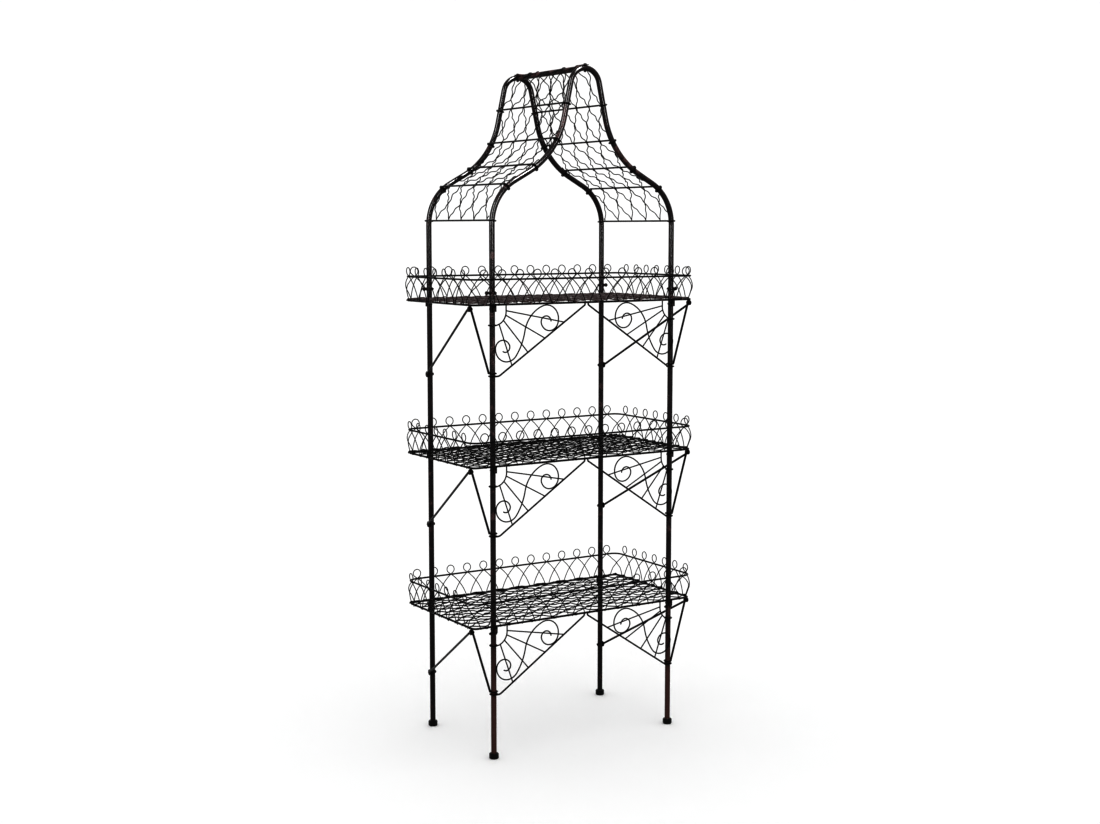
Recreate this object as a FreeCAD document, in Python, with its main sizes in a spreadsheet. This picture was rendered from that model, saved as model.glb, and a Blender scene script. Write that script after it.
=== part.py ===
import FreeCAD, Part
import os
import re
from math import atan2, cos, pi, radians, sin, sqrt, tan

import Sketcher
from FreeCAD import Placement, Rotation, Vector

# Bakers rack: two bell-arched tube frames, three wire shelves with looped galleries, scrolled
# fan brackets and rod struts under each shelf, and a netted roof between the arches.
# Millimetres. +X is to the right, +Y to the rear, +Z up. The origin is on the floor, midway
# between the four legs.

# ---------------------------------------------------------------- driving dimensions

DIMENSIONS = [
    # alias, value, meaning
    ("tube_diameter", 16.0, "tube of the legs, arches and ridge"),
    ("tube_wall", 1.2, "wall of that tube"),
    ("leg_span_x", 630.0, "between leg axes, left to right"),
    ("leg_span_y", 375.0, "between leg axes, front to rear"),
    ("lower_seam_z", 392.0, "seam between lower and upper legs"),
    ("upper_seam_z", 1340.0, "seam between upper legs and arches"),
    ("shoulder_start_z", 1553.0, "where the arch leaves the upright"),
    ("shoulder_radius", 140.0, "bend of the arch's shoulder"),
    ("incline_angle", 28.5, "slope of the straight above the shoulder, degrees"),
    ("incline_length", 59.0, "length of that straight"),
    ("flare_radius", 237.0, "hollow bend up to the neck"),
    ("neck_angle", 77.5, "slope of the neck, degrees"),
    ("crown_radius", 50.0, "bend over the peak"),
    ("sleeve_length", 90.0, "sleeve inside each tube joint"),
    ("sleeve_wall", 1.5, "wall of the sleeve"),
    ("sleeve_gap", 0.1, "gap between sleeve and tube, all round"),
    ("lower_shelf_z", 394.0, "underside of the lower shelf frame"),
    ("middle_shelf_z", 861.0, "underside of the middle shelf frame"),
    ("upper_shelf_z", 1324.0, "underside of the upper shelf frame"),
    ("frame_rod", 6.0, "rod of the shelf frames"),
    ("frame_corner", 14.0, "corner radius of the shelf frames"),
    ("side_overhang", 71.5, "leg axis to the frame's side rod"),
    ("net_wire", 2.8, "wire of the shelf and roof nets"),
    ("net_cells_x", 10, "net cells along the shelf"),
    ("net_cells_y", 9.5, "net cells across the shelf"),
    ("net_leg_gap", 1.5, "gap between the net and a leg"),
    ("rail_rod", 5.0, "rod of the gallery rail"),
    ("rail_height", 74.5, "rail axis above the frame's underside"),
    ("rail_corner", 28.0, "corner radius of the rail"),
    ("rail_flare", 5.0, "rail's outline outside the frame's"),
    ("gallery_wire", 2.6, "wire of the gallery loops"),
    ("long_loops", 13, "loops along a long side"),
    ("short_loops", 7, "loops along a short side"),
    ("long_pitch", 59.0, "loop to loop, long side"),
    ("short_pitch", 55.0, "loop to loop, short side"),
    ("loop_radius", 12.3, "radius of a gallery loop"),
    ("wire_reach", 0.9, "foot of a gallery wire, in pitches from its loop"),
    ("roof_rods", 5, "cross rods on each roof slope"),
    ("roof_rod", 5.0, "rod of the roof"),
    ("roof_first_z", 1564.0, "lowest cross rod"),
    ("roof_pitch", 110.0, "rod to rod, along the arch"),
    ("roof_cells", 5, "roof net cells from front to rear"),
    ("ring_rod", 4.4, "rod of the rings round the tubes"),
    ("ring_gap", 0.2, "gap between a ring and its tube"),
    ("ridge_tab", 2.0, "thickness of the ridge's end tabs"),
    ("ridge_lift", 0.5, "ridge axis above the peak's axis"),
    ("strut_rod", 6.5, "rod of the struts"),
    ("strut_eye", 3.0, "thickness of a strut's eye"),
    ("top_eye", 15.0, "diameter of the eyes on the corner bolt"),
    ("low_eye", 18.0, "diameter of a long strut's low eye"),
    ("tab_width", 12.0, "width of the tabs that carry the struts"),
    ("tab_depth", 15.0, "those tabs below the frame's underside"),
    ("strut_inset_y", 14.0, "strut bolt behind the frame's front rod"),
    ("strut_bolt_drop", 8.5, "that bolt below the frame's underside"),
    ("short_strut_drop", 193.0, "short strut's ring below the frame"),
    ("long_strut_drop", 223.0, "long strut's eye below the frame"),
    ("fan_rod", 5.0, "diagonal rod of the fan brackets"),
    ("fan_drop", 201.0, "diagonal's ring below the frame"),
    ("fan_slope", 33.7, "slope of the diagonal, degrees"),
    ("fan_arc_drop", 56.0, "hub arc's ring below the frame"),
    ("fan_arc_radius", 39.5, "radius of the hub arc"),
    ("hub_drop", 7.0, "point that the rays aim at, below the frame"),
    ("first_ray", 11.0, "ray angles below the level, degrees"),
    ("second_ray", 28.0, "second ray"),
    ("third_ray", 49.0, "third ray"),
    ("fourth_ray", 70.5, "fourth ray"),
    ("ray_rod", 3.6, "rod of the rays"),
    ("scroll_rod", 3.8, "rod of the scroll and hub arc"),
    ("lug_depth", 20.0, "shelf lug below the frame's axis"),
    ("lug_width", 16.0, "width of a shelf lug"),
    ("lug_plate", 2.5, "thickness of a shelf lug"),
    ("lug_bolt_drop", 10.0, "shelf bolt below the frame"),
    ("joint_bolt_drop", 20.0, "tube bolt from its shelf or seam"),
    ("bolt_shank", 5.0, "shank of the bolts"),
    ("bolt_hole", 5.4, "hole for them"),
    ("bolt_head", 10.0, "diameter of a bolt's head"),
    ("bolt_head_height", 3.5, "height of a bolt's head"),
    ("nut_size", 9.0, "nut across its corners"),
    ("nut_height", 2.9, "height of a nut"),
    ("foot_diameter", 28.0, "outside of a foot cap"),
    ("foot_height", 17.0, "height of a foot cap"),
    ("foot_floor", 4.0, "cap's floor under the leg"),
]

doc = FreeCAD.newDocument("bakers_rack")
sheet = doc.addObject("Spreadsheet::Sheet", "sheet")
for row, (alias, value, meaning) in enumerate(DIMENSIONS, start=1):
    sheet.set(f"A{row}", alias)
    sheet.set(f"B{row}", str(value))
    sheet.set(f"C{row}", meaning)
    sheet.setAlias(f"B{row}", alias)
doc.recompute()

ALIASES = {alias for alias, _, _ in DIMENSIONS}
SIDES = (("left", -1), ("right", 1))
ENDS = (("front", -1), ("rear", 1))
SHELVES = ("lower", "middle", "upper")
X_AXIS = Vector(1, 0, 0)
Y_AXIS = Vector(0, 1, 0)
Z_AXIS = Vector(0, 0, 1)


def size(expression):
    """The number that an expression on the sheet's aliases gives now."""
    return float(sheet.evalExpression(expression))


def bound(expression):
    """The same expression, as an object outside the sheet writes it."""
    def from_sheet(word):
        return f"sheet.{word[0]}" if word[0] in ALIASES else word[0]

    return re.sub("[a-z][a-z_]*", from_sheet, expression)


def bind(thing, **expressions):
    """Bind properties of an object to the sheet: Radius="tube_diameter / 2"."""
    for name, expression in expressions.items():
        thing.setExpression(name, bound(expression))


def place(thing, x="0", y="0", z="0", rotation=None):
    """Set an object's place; each coordinate is an expression on the sheet."""
    turned = rotation if rotation is not None else Rotation()
    thing.Placement = Placement(Vector(size(x), size(y), size(z)), turned)
    for axis, expression in (("x", x), ("y", y), ("z", z)):
        if expression != "0":
            thing.setExpression(f"Placement.Base.{axis}", bound(expression))
    return thing


# ---------------------------------------------------------------- sketches and bodies


def new_body(label):
    body = doc.addObject("PartDesign::Body", label)
    body.Label = label
    return body


def new_sketch(body, name, role, offset=None):
    """A sketch on one of the body's own origin planes, or a bound distance in front of it."""
    plane = next(item for item in body.Origin.OriginFeatures if item.Role == role)
    sketch = body.newObject("Sketcher::SketchObject", f"{body.Label}_{name}")
    sketch.AttachmentSupport = [(plane, "")]
    sketch.MapMode = "FlatFace"
    if offset is not None:
        sketch.AttachmentOffset = Placement(Vector(0, 0, size(offset)), Rotation())
        sketch.setExpression("AttachmentOffset.Base.z", bound(offset))
    return sketch


def dimension(sketch, kind, *where, expression):
    """A datum constraint bound to the sheet."""
    index = sketch.addConstraint(Sketcher.Constraint(kind, *where, size(expression)))
    sketch.setExpression(f"Constraints[{index}]", bound(expression))


def pin_point(sketch, geometry, vertex, x, y):
    """Fix a vertex of a sketch at bound coordinates; a zero puts it on the axis."""
    for kind, axis, expression in (("DistanceX", -2, x), ("DistanceY", -1, y)):
        if expression == "0":
            sketch.addConstraint(Sketcher.Constraint("PointOnObject", geometry, vertex, axis))
        else:
            dimension(sketch, kind, -1, 1, geometry, vertex, expression=expression)


def add_circle(sketch, x, y, diameter):
    centre = Vector(size(x), size(y), 0)
    circle = sketch.addGeometry(Part.Circle(centre, Z_AXIS, size(diameter) / 2))
    dimension(sketch, "Diameter", circle, expression=diameter)
    pin_point(sketch, circle, 3, x, y)


def add_outline(sketch, corners):
    """A closed polygon whose corners are pairs of expressions."""
    points = [Vector(size(x), size(y), 0) for x, y in corners]
    first = sketch.GeometryCount
    for start, end in zip(points, points[1:] + points[:1]):
        sketch.addGeometry(Part.LineSegment(start, end))
    count = len(corners)
    for index, (x, y) in enumerate(corners):
        before = first + (index - 1) % count
        sketch.addConstraint(Sketcher.Constraint("Coincident", before, 2, first + index, 1))
        pin_point(sketch, first + index, 1, x, y)


def pad(body, sketch, length, name="pad"):
    feature = body.newObject("PartDesign::Pad", f"{body.Label}_{name}")
    feature.Profile = sketch
    feature.Length = size(length)
    bind(feature, Length=length)
    return feature


def drill(body, name, role, centres):
    """Bolt holes right through a body, square to one of its origin planes."""
    doc.recompute()
    before = body.Shape.Volume
    sketch = new_sketch(body, f"{name}_holes", role)
    for x, y in centres:
        add_circle(sketch, x, y, "bolt_hole")
    pocket = body.newObject("PartDesign::Pocket", f"{body.Label}_{name}_drilled")
    pocket.Profile = sketch
    pocket.Type = "ThroughAll"
    pocket.SideType = "Symmetric"
    doc.recompute()
    if body.Shape.Volume > before - 1.0:
        raise RuntimeError(f"{body.Label}: the {name} holes cut nothing")


def pipe(body, path, profile):
    feature = body.newObject("PartDesign::AdditivePipe", f"{body.Label}_pipe")
    feature.Profile = profile
    feature.Spine = (path, [f"Edge{n + 1}" for n in range(path.GeometryCount)])
    return feature


def join_tangent(sketch, first, second):
    """Tangency where two neighbouring lines or arcs of a path meet."""
    for vertex in (1, 2):
        here = sketch.getPoint(first, vertex)
        for other in (1, 2):
            if here.distanceToPoint(sketch.getPoint(second, other)) < 1e-6:
                sketch.addConstraint(Sketcher.Constraint("Tangent", first, vertex, second, other))
                return
    raise RuntimeError(f"{sketch.Label}: path pieces {first} and {second} do not meet")


# ---------------------------------------------------------------- the arch's line

RING_RADIUS = "tube_diameter / 2 + ring_rod / 2 + ring_gap"
HALF_X = size("leg_span_x / 2")
HALF_Y = size("leg_span_y / 2")


def heading(angle):
    """Unit vector in the arch's plane, from an angle above +X in degrees."""
    return Vector(cos(radians(angle)), 0, sin(radians(angle)))


def arch_pieces():
    """The left half of the arch from seam to peak: length, turn in degrees, radius.

    A turn is positive to the left. Straights have no turn. The neck is as long as it takes
    to bring the crown's centre over the middle of the rack.
    """
    incline = size("incline_angle")
    neck = size("neck_angle")
    shoulder = size("shoulder_radius")
    flare = size("flare_radius")
    crown = size("crown_radius")
    reach = (
        HALF_X
        - shoulder * (1 - sin(radians(incline)))
        - size("incline_length") * cos(radians(incline))
        - flare * (sin(radians(neck)) - sin(radians(incline)))
        - crown * sin(radians(neck))
    )
    neck_length = reach / cos(radians(neck))
    return [
        (size("shoulder_start_z - upper_seam_z"), 0.0, 0.0),
        (shoulder * radians(90 - incline), -(90 - incline), shoulder),
        (size("incline_length"), 0.0, 0.0),
        (flare * radians(neck - incline), neck - incline, flare),
        (neck_length, 0.0, 0.0),
        (crown * radians(neck), -neck, crown),
    ]


def step(start, angle, length, turn, radius):
    """Point and heading after part of a straight or of a bend."""
    if radius == 0:
        return start + heading(angle) * length, angle
    side = 1 if turn > 0 else -1
    centre = start + heading(angle + 90 * side) * radius
    turned = length / radius * 180 / pi * side
    return centre - heading(angle + turned + 90 * side) * radius, angle + turned


def walk(point, angle, pieces, distance):
    """Point and heading at a distance along a chain of straights and bends."""
    for length, turn, radius in pieces:
        if distance <= length:
            return step(point, angle, distance, turn, radius)
        point, angle = step(point, angle, length, turn, radius)
        distance -= length
    return point, angle


def along_arch(distance):
    """Point and heading on the left half of the arch, a distance above the seam."""
    seam = Vector(-HALF_X, 0, size("upper_seam_z"))
    return walk(seam, 90.0, arch_pieces(), distance)


ARCH_LENGTH = sum(length for length, _, _ in arch_pieces())
PEAK_Z = along_arch(ARCH_LENGTH)[0].z

WELD_STEP = 0.7  # layers of crossed wires lie this many wire diameters apart
BAND_GAP = 1.0  # from a cross rod's axis to the end of a roof net's wire
TOUCH = 0.05  # gap between rods that lie against each other

# ---------------------------------------------------------------- rods bent from arcs


def arc_or_line(start, tangent, end):
    """The edge that leaves start along the tangent and reaches the end."""
    chord = end - start
    along = Vector(chord).normalize()
    aside = tangent - along * tangent.dot(along)
    if aside.Length < 1e-7:
        return Part.LineSegment(start, end).toShape()
    bulge = chord.Length / 2 * tan(tangent.getAngle(chord) / 2)
    middle = start + chord * 0.5 + aside.normalize() * bulge
    return Part.Arc(start, middle, end).toShape()


def bent_wire(stations, radius):
    """A round wire through (point, unit tangent) stations, two tangent arcs between each pair."""
    edges = []
    for (start, leaving), (end, arriving) in zip(stations, stations[1:]):
        chord = end - start
        both = leaving + arriving
        spread = 2 * (1 - leaving.dot(arriving))
        if spread < 1e-9:
            reach = chord.dot(chord) / (4 * chord.dot(arriving))
        else:
            towards = chord.dot(both)
            reach = (sqrt(towards**2 + spread * chord.dot(chord)) - towards) / spread
        middle = (start + end + (leaving - arriving) * reach) * 0.5
        edges.append(arc_or_line(start, leaving, middle))
        edges.append(arc_or_line(end, arriving * -1, middle))
    path = Part.Wire(Part.__sortEdges__(edges))
    point, tangent = stations[0]
    disc = Part.Face(Part.Wire(Part.Circle(point, tangent, radius).toShape()))
    solid = path.makePipe(disc)
    if abs(solid.Volume / (pi * radius**2 * path.Length) - 1) > 0.002:
        raise RuntimeError("a bent wire lost its section")
    return solid


def straight_rod(start, end, radius):
    return Part.makeCylinder(radius, (end - start).Length, start, end - start)


def shaped(label, shape):
    """A sub-part whose shape is worked out in code from the sheet."""
    feature = doc.addObject("Part::Feature", label)
    feature.Label = label
    feature.Shape = shape
    return feature


# ---------------------------------------------------------------- legs, arches and ridge


def tube_along_z(label, length, outer, inner):
    body = new_body(label)
    section = new_sketch(body, "section", "XY_Plane")
    add_circle(section, "0", "0", outer)
    add_circle(section, "0", "0", inner)
    pad(body, section, length)
    return body


TUBE_BORE = "tube_diameter - 2 * tube_wall"
LOWER_BOLT_Z = "lower_shelf_z - joint_bolt_drop"
UPPER_BOLT_Z = "upper_seam_z + joint_bolt_drop"


def leg_corner(side, end):
    """Expressions for the axis of one leg."""
    return f"{side} * leg_span_x / 2", f"{end} * leg_span_y / 2"


def add_legs():
    for end_name, end in ENDS:
        for side_name, side in SIDES:
            x, y = leg_corner(side, end)
            lower = tube_along_z(
                f"{end_name}_{side_name}_lower_leg",
                "lower_seam_z - foot_floor", "tube_diameter", TUBE_BORE,
            )
            place(lower, x, y, "foot_floor")
            across = [("0", f"{LOWER_BOLT_Z} - foot_floor")]
            if end > 0:
                across.append(("0", "lower_shelf_z - long_strut_drop - foot_floor"))
            drill(lower, "across", "YZ_Plane", across)
            drill(lower, "shelf", "XZ_Plane", [("0", "lower_shelf_z - lug_bolt_drop - foot_floor")])

            upper = tube_along_z(
                f"{end_name}_{side_name}_upper_leg",
                "upper_seam_z - lower_seam_z", "tube_diameter", TUBE_BORE,
            )
            place(upper, x, y, "lower_seam_z")
            shelves = ("middle", "upper")
            levels = [("0", f"{name}_shelf_z - lug_bolt_drop - lower_seam_z") for name in shelves]
            drill(upper, "shelf", "XZ_Plane", levels)
            if end > 0:
                levels = [
                    ("0", f"{name}_shelf_z - long_strut_drop - lower_seam_z") for name in shelves
                ]
                drill(upper, "strut", "YZ_Plane", levels)


def arch_path(body):
    """The whole arch, left seam to right seam, as tangent lines and arcs."""
    sketch = new_sketch(body, "path", "XZ_Plane")
    pieces = arch_pieces()
    crown = pieces[-1]
    whole = pieces[:-1] + [(2 * crown[0], 2 * crown[1], crown[2])]
    whole += [(length, turn, radius) for length, turn, radius in reversed(pieces[:-1])]
    point = Vector(-HALF_X, 0, size("upper_seam_z"))
    angle = 90.0
    for length, turn, radius in whole:
        middle, _ = step(point, angle, length / 2, turn, radius)
        end, next_angle = step(point, angle, length, turn, radius)
        flat = [Vector(p.x, p.z, 0) for p in (point, middle, end)]
        if radius == 0:
            sketch.addGeometry(Part.LineSegment(flat[0], flat[2]))
        else:
            sketch.addGeometry(Part.Arc(*flat))
        point, angle = end, next_angle
    last = len(whole) - 1
    for index in range(last):
        join_tangent(sketch, index, index + 1)
    for geometry, radius in ((1, "shoulder_radius"), (3, "flare_radius")):
        dimension(sketch, "Radius", geometry, expression=radius)
        dimension(sketch, "Radius", last - geometry, expression=radius)
    dimension(sketch, "Radius", 5, expression="crown_radius")
    pin_point(sketch, 0, 1, "-leg_span_x / 2", "upper_seam_z")
    pin_point(sketch, last, 2, "leg_span_x / 2", "upper_seam_z")
    for geometry in (0, last):
        sketch.addConstraint(Sketcher.Constraint("Vertical", geometry))
        dimension(sketch, "Distance", geometry, expression="shoulder_start_z - upper_seam_z")
    for geometry in (2, last - 2):
        dimension(sketch, "Distance", geometry, expression="incline_length")
    sketch.addConstraint(Sketcher.Constraint("PointOnObject", 5, 3, -2))
    return sketch


def add_arches():
    for end_name, end in ENDS:
        body = new_body(f"{end_name}_arch")
        path = arch_path(body)
        section = new_sketch(body, "section", "XY_Plane", "upper_seam_z")
        add_circle(section, "-leg_span_x / 2", "0", "tube_diameter")
        add_circle(section, "-leg_span_x / 2", "0", TUBE_BORE)
        pipe(body, path, section)
        drill(body, "joint", "YZ_Plane", [("0", UPPER_BOLT_Z)])
        drill(body, "ridge", "XY_Plane", [("0", "0")])
        place(body, y=f"{end} * leg_span_y / 2")


def add_sleeves():
    """Inner sleeves across the tube joints, drilled for the joint bolt and the shelf bolt."""
    members = []
    joints = (
        ("lower", "lower_seam_z", LOWER_BOLT_Z, "lower_shelf_z - lug_bolt_drop"),
        ("upper", "upper_seam_z", UPPER_BOLT_Z, "upper_shelf_z - lug_bolt_drop"),
    )
    for end_name, end in ENDS:
        for side_name, side in SIDES:
            for joint, seam, joint_bolt, shelf_bolt in joints:
                body = tube_along_z(
                    f"{end_name}_{side_name}_{joint}_sleeve",
                    "sleeve_length",
                    "tube_diameter - 2 * ( tube_wall + sleeve_gap )",
                    "tube_diameter - 2 * ( tube_wall + sleeve_gap + sleeve_wall )",
                )
                foot = f"{seam} - sleeve_length / 2"
                place(body, *leg_corner(side, end), foot)
                drill(body, "joint", "YZ_Plane", [("0", f"{joint_bolt} - ( {foot} )")])
                drill(body, "shelf", "XZ_Plane", [("0", f"{shelf_bolt} - ( {foot} )")])
                members.append(body)
    group("joint_sleeves", members)


def group(label, members):
    """One sub-part made of separate solids."""
    compound = doc.addObject("Part::Compound", label)
    compound.Label = label
    compound.Links = members
    return compound


def add_ridge():
    """The ridge tube between the peaks, with a flat tab over each arch for its bolt."""
    body = new_body("ridge_tube")
    half = "leg_span_y / 2 - tube_diameter / 2"
    section = new_sketch(body, "section", "XZ_Plane", f"-( {half} )")
    add_circle(section, "0", "0", "tube_diameter")
    add_circle(section, "0", "0", TUBE_BORE)
    pad(body, section, f"2 * ( {half} )")
    top = "tube_diameter / 2 - ridge_lift"
    reach = "tube_diameter"
    for end_name, end in ENDS:
        tab = new_sketch(body, f"{end_name}_tab", "XY_Plane", top)
        inner = f"{end} * ( {half} - {reach} )"
        outer = f"{end} * ( {half} + {reach} )"
        add_outline(tab, [
            ("-lug_width / 2", inner), ("lug_width / 2", inner),
            ("lug_width / 2", outer), ("-lug_width / 2", outer),
        ])
        add_circle(tab, "0", f"{end} * leg_span_y / 2", "bolt_hole")
        pad(body, tab, "ridge_tab", f"{end_name}_tab_pad")
    place(body, z=f"{PEAK_Z} + ridge_lift")


def add_feet():
    members = []
    for end_name, end in ENDS:
        for side_name, side in SIDES:
            body = new_body(f"{end_name}_{side_name}_foot")
            profile = new_sketch(body, "profile", "XZ_Plane")
            add_outline(profile, [
                ("0", "0"),
                ("foot_diameter / 2 - 2", "0"),
                ("foot_diameter / 2", "2.5"),
                ("foot_diameter / 2", "foot_height - 3.5"),
                ("foot_diameter / 2 - 1.2", "foot_height - 1"),
                ("foot_diameter / 2 - 3.5", "foot_height"),
                ("tube_diameter / 2", "foot_height"),
                ("tube_diameter / 2", "foot_floor"),
                ("0", "foot_floor"),
            ])
            turned = body.newObject("PartDesign::Revolution", f"{body.Label}_turned")
            turned.Profile = profile
            turned.ReferenceAxis = (profile, ["V_Axis"])
            turned.Angle = 360
            place(body, *leg_corner(side, end))
            members.append(body)
    group("foot_caps", members)


# ---------------------------------------------------------------- roof

ROOF_LIFT = "tube_diameter / 2 + 2 * ring_gap + roof_rod / 2"  # roof rod off the arch tube's axis


def roof_stations():
    """Distances along the arch of the cross rods, lowest first."""
    first = size("roof_first_z - upper_seam_z")
    # The lowest rod is on the shoulder's first few degrees, where height and length agree.
    return [first + n * size("roof_pitch") for n in range(int(size("roof_rods")))]


def slope_point(distance, y, lift):
    """Point and tangent of the arch's line, lifted outwards from it."""
    point, angle = along_arch(distance)
    outward = heading(angle + 90)
    return point + outward * lift + Vector(0, y, 0), heading(angle)


def add_roof_rods():
    """Cross rods of each slope, laid on the outer side of both arches.

    Each end is welded to a ring round the arch tube.
    """
    for side_name, side in SIDES:
        members = []
        for number, distance in enumerate(roof_stations(), start=1):
            point, angle = along_arch(distance)
            x = -side * point.x
            tangent = Vector(-side * heading(angle).x, 0, heading(angle).z)
            lifted, _ = slope_point(distance, -HALF_Y - size("ring_rod / 2"), size(ROOF_LIFT))
            name = f"{side_name}_roof_rod_{number}"
            bar = doc.addObject("Part::Cylinder", f"{name}_bar")
            bind(bar, Radius="roof_rod / 2", Height="leg_span_y + ring_rod")
            bar.Placement = Placement(
                Vector(-side * lifted.x, lifted.y, lifted.z), Rotation(Z_AXIS, Y_AXIS)
            )
            rings = []
            for end_name, end in ENDS:
                loop = doc.addObject("Part::Torus", f"{name}_{end_name}_ring")
                bind(loop, Radius1=RING_RADIUS, Radius2="ring_rod / 2")
                loop.Placement = Placement(
                    Vector(x, end * HALF_Y, point.z), Rotation(Z_AXIS, tangent)
                )
                rings.append(loop)
            rod = doc.addObject("Part::MultiFuse", name)
            rod.Shapes = [bar] + rings
            members.append(rod)
        group(f"{side_name}_roof_rods", members)


def roof_band(lower, upper):
    """Net between two cross rods: each wire climbs one cell to the side.

    It lies just under the rods. Wires cross half way up, where two cells meet, and again at
    the rods.
    """
    radius = size("net_wire / 2")
    cells = int(size("roof_cells"))
    cell = 2 * HALF_Y / cells
    edge = HALF_Y - size("tube_diameter / 2") - radius
    middle = (lower + upper) / 2
    under_rods = size(f"{ROOF_LIFT} - roof_rod / 2") - radius - TOUCH
    wires = []
    for column in range(cells + 1):
        middle_y = -HALF_Y + column * cell
        for lean in (1, -1):
            slope = lean * cell / (upper - lower)
            lift = under_rods - (0 if lean > 0 else size("net_wire") * WELD_STEP)
            reach = sorted(middle + (side * edge - middle_y) / slope for side in (-1, 1))
            first = max(lower + BAND_GAP, reach[0])
            last = min(upper - BAND_GAP, reach[1])
            stations = []
            for n in range(5):
                distance = first + (last - first) * n / 4
                y = middle_y + slope * (distance - middle)
                point, up = slope_point(distance, y, lift)
                stations.append((point, (up + Vector(0, slope, 0)).normalize()))
            wires.append(bent_wire(stations, radius))
    return wires[0].multiFuse(wires[1:])


def add_roof_nets():
    stations = roof_stations() + [ARCH_LENGTH - size("tube_diameter / 2")]
    bands = [roof_band(low, high) for low, high in zip(stations, stations[1:])]
    left = shaped("left_roof_net", Part.makeCompound(bands))
    mirrored("right_roof_net", left, X_AXIS)


def mirrored(label, source, normal):
    mirror = doc.addObject("Part::Mirroring", label)
    mirror.Label = label
    mirror.Source = source
    mirror.Normal = normal
    return mirror


# ---------------------------------------------------------------- shelves

FRAME_X = "leg_span_x / 2 + side_overhang"
FRAME_Y = "leg_span_y / 2 + tube_diameter / 2 + frame_rod / 2"
RAIL_X = f"{FRAME_X} + rail_flare"
RAIL_Y = f"{FRAME_Y} + rail_flare"
STRUT_Y = f"{FRAME_Y} - strut_inset_y"
WIRE_FOOT = 1.0  # foot of a gallery wire above the frame's underside
SHORTEST_WIRE = 0.02  # of the depth: shorter net wires at the corners are left out
CROSS_ANGLE = 36.0  # slope of a gallery wire where it crosses itself


def rounded_rectangle(body, half_x, half_y, corner):
    """A closed path that starts at the middle of the front side."""
    sketch = new_sketch(body, "path", "XY_Plane")
    a, b, r = size(half_x), size(half_y), size(corner)
    points = [(0, -b)]
    for sx, sy in ((1, -1), (1, 1), (-1, 1), (-1, -1)):
        before = (sx * (a - r), sy * b) if sx == -sy else (sx * a, sy * (b - r))
        after = (sx * a, sy * (b - r)) if sx == -sy else (sx * (a - r), sy * b)
        points += [before, after]
    points.append((0, -b))
    dots = [Vector(x, y, 0) for x, y in points]
    bend = r * (1 - sqrt(0.5))
    corners = iter([Vector(sx * (a - bend), sy * (b - bend), 0)
                    for sx, sy in ((1, -1), (1, 1), (-1, 1), (-1, -1))])
    for index, (start, end) in enumerate(zip(dots, dots[1:])):
        if index % 2:
            sketch.addGeometry(Part.Arc(start, next(corners), end))
            dimension(sketch, "Radius", index, expression=corner)
        else:
            sketch.addGeometry(Part.LineSegment(start, end))
    for index in range(len(dots) - 2):
        join_tangent(sketch, index, index + 1)
    pin_point(sketch, 0, 1, "0", f"-( {half_y} )")
    sketch.addConstraint(Sketcher.Constraint("Coincident", 8, 2, 0, 1))
    for line in (0, 4, 8):
        sketch.addConstraint(Sketcher.Constraint("Horizontal", line))
    for line, x in ((2, half_x), (6, f"-( {half_x} )")):
        sketch.addConstraint(Sketcher.Constraint("Vertical", line))
        dimension(sketch, "DistanceX", -1, 1, line, 1, expression=x)
    dimension(sketch, "DistanceY", -1, 1, 4, 1, expression=half_y)
    return sketch


def rod_frame(label, half_x, half_y, corner, rod):
    body = new_body(label)
    path = rounded_rectangle(body, half_x, half_y, corner)
    section = new_sketch(body, "section", "YZ_Plane")
    add_circle(section, f"-( {half_y} )", "0", rod)
    pipe(body, path, section)
    return body


def add_lugs(body):
    """Flat lugs hanging in front of and behind the legs, drilled for the shelf bolts."""
    face = "leg_span_y / 2 + tube_diameter / 2"
    for end_name, end in ENDS:
        # The plane's own normal points to the front, so the front is positive here.
        offset = face if end < 0 else f"-( {face} + lug_plate )"
        sketch = new_sketch(body, f"{end_name}_lugs", "XZ_Plane", offset)
        for _, side in SIDES:
            left = f"{side} * leg_span_x / 2 - lug_width / 2"
            right = f"{side} * leg_span_x / 2 + lug_width / 2"
            bottom = "-lug_depth"
            add_outline(sketch, [(left, bottom), (right, bottom), (right, "-1"), (left, "-1")])
            hole_z = "-( frame_rod / 2 + lug_bolt_drop )"
            add_circle(sketch, f"{side} * leg_span_x / 2", hole_z, "bolt_hole")
        pad(body, sketch, "lug_plate", f"{end_name}_lug_pad")


def add_strut_tabs(body):
    """Flat tabs under the side rods, by the front corners, where the struts are bolted."""
    front = f"-( {STRUT_Y} ) - tab_width / 2"
    rear = f"-( {STRUT_Y} ) + tab_width / 2"
    bottom = "-( frame_rod / 2 + tab_depth )"
    for side_name, side in SIDES:
        offset = f"{side} * ( {FRAME_X} ) - lug_plate / 2"
        sketch = new_sketch(body, f"{side_name}_tab", "YZ_Plane", offset)
        add_outline(sketch, [(front, bottom), (rear, bottom), (rear, "-1"), (front, "-1")])
        hole_z = "-( frame_rod / 2 + strut_bolt_drop )"
        add_circle(sketch, f"-( {STRUT_Y} )", hole_z, "bolt_hole")
        pad(body, sketch, "lug_plate", f"{side_name}_tab_pad")


def net_line(rear_x, drift):
    """Ends of a net wire that leaves the rear side and drifts sideways to the front side.

    A wire that would pass the left or right side ends there. The drift is for the whole depth.
    """
    a, b = size(FRAME_X), size(FRAME_Y)
    shares = sorted([(-a - rear_x) / drift, (a - rear_x) / drift])
    first, last = max(0.0, shares[0]), min(1.0, shares[1])
    if last - first < SHORTEST_WIRE:
        return None
    return [(rear_x + drift * share, b - 2 * b * share) for share in (first, last)]


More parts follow.
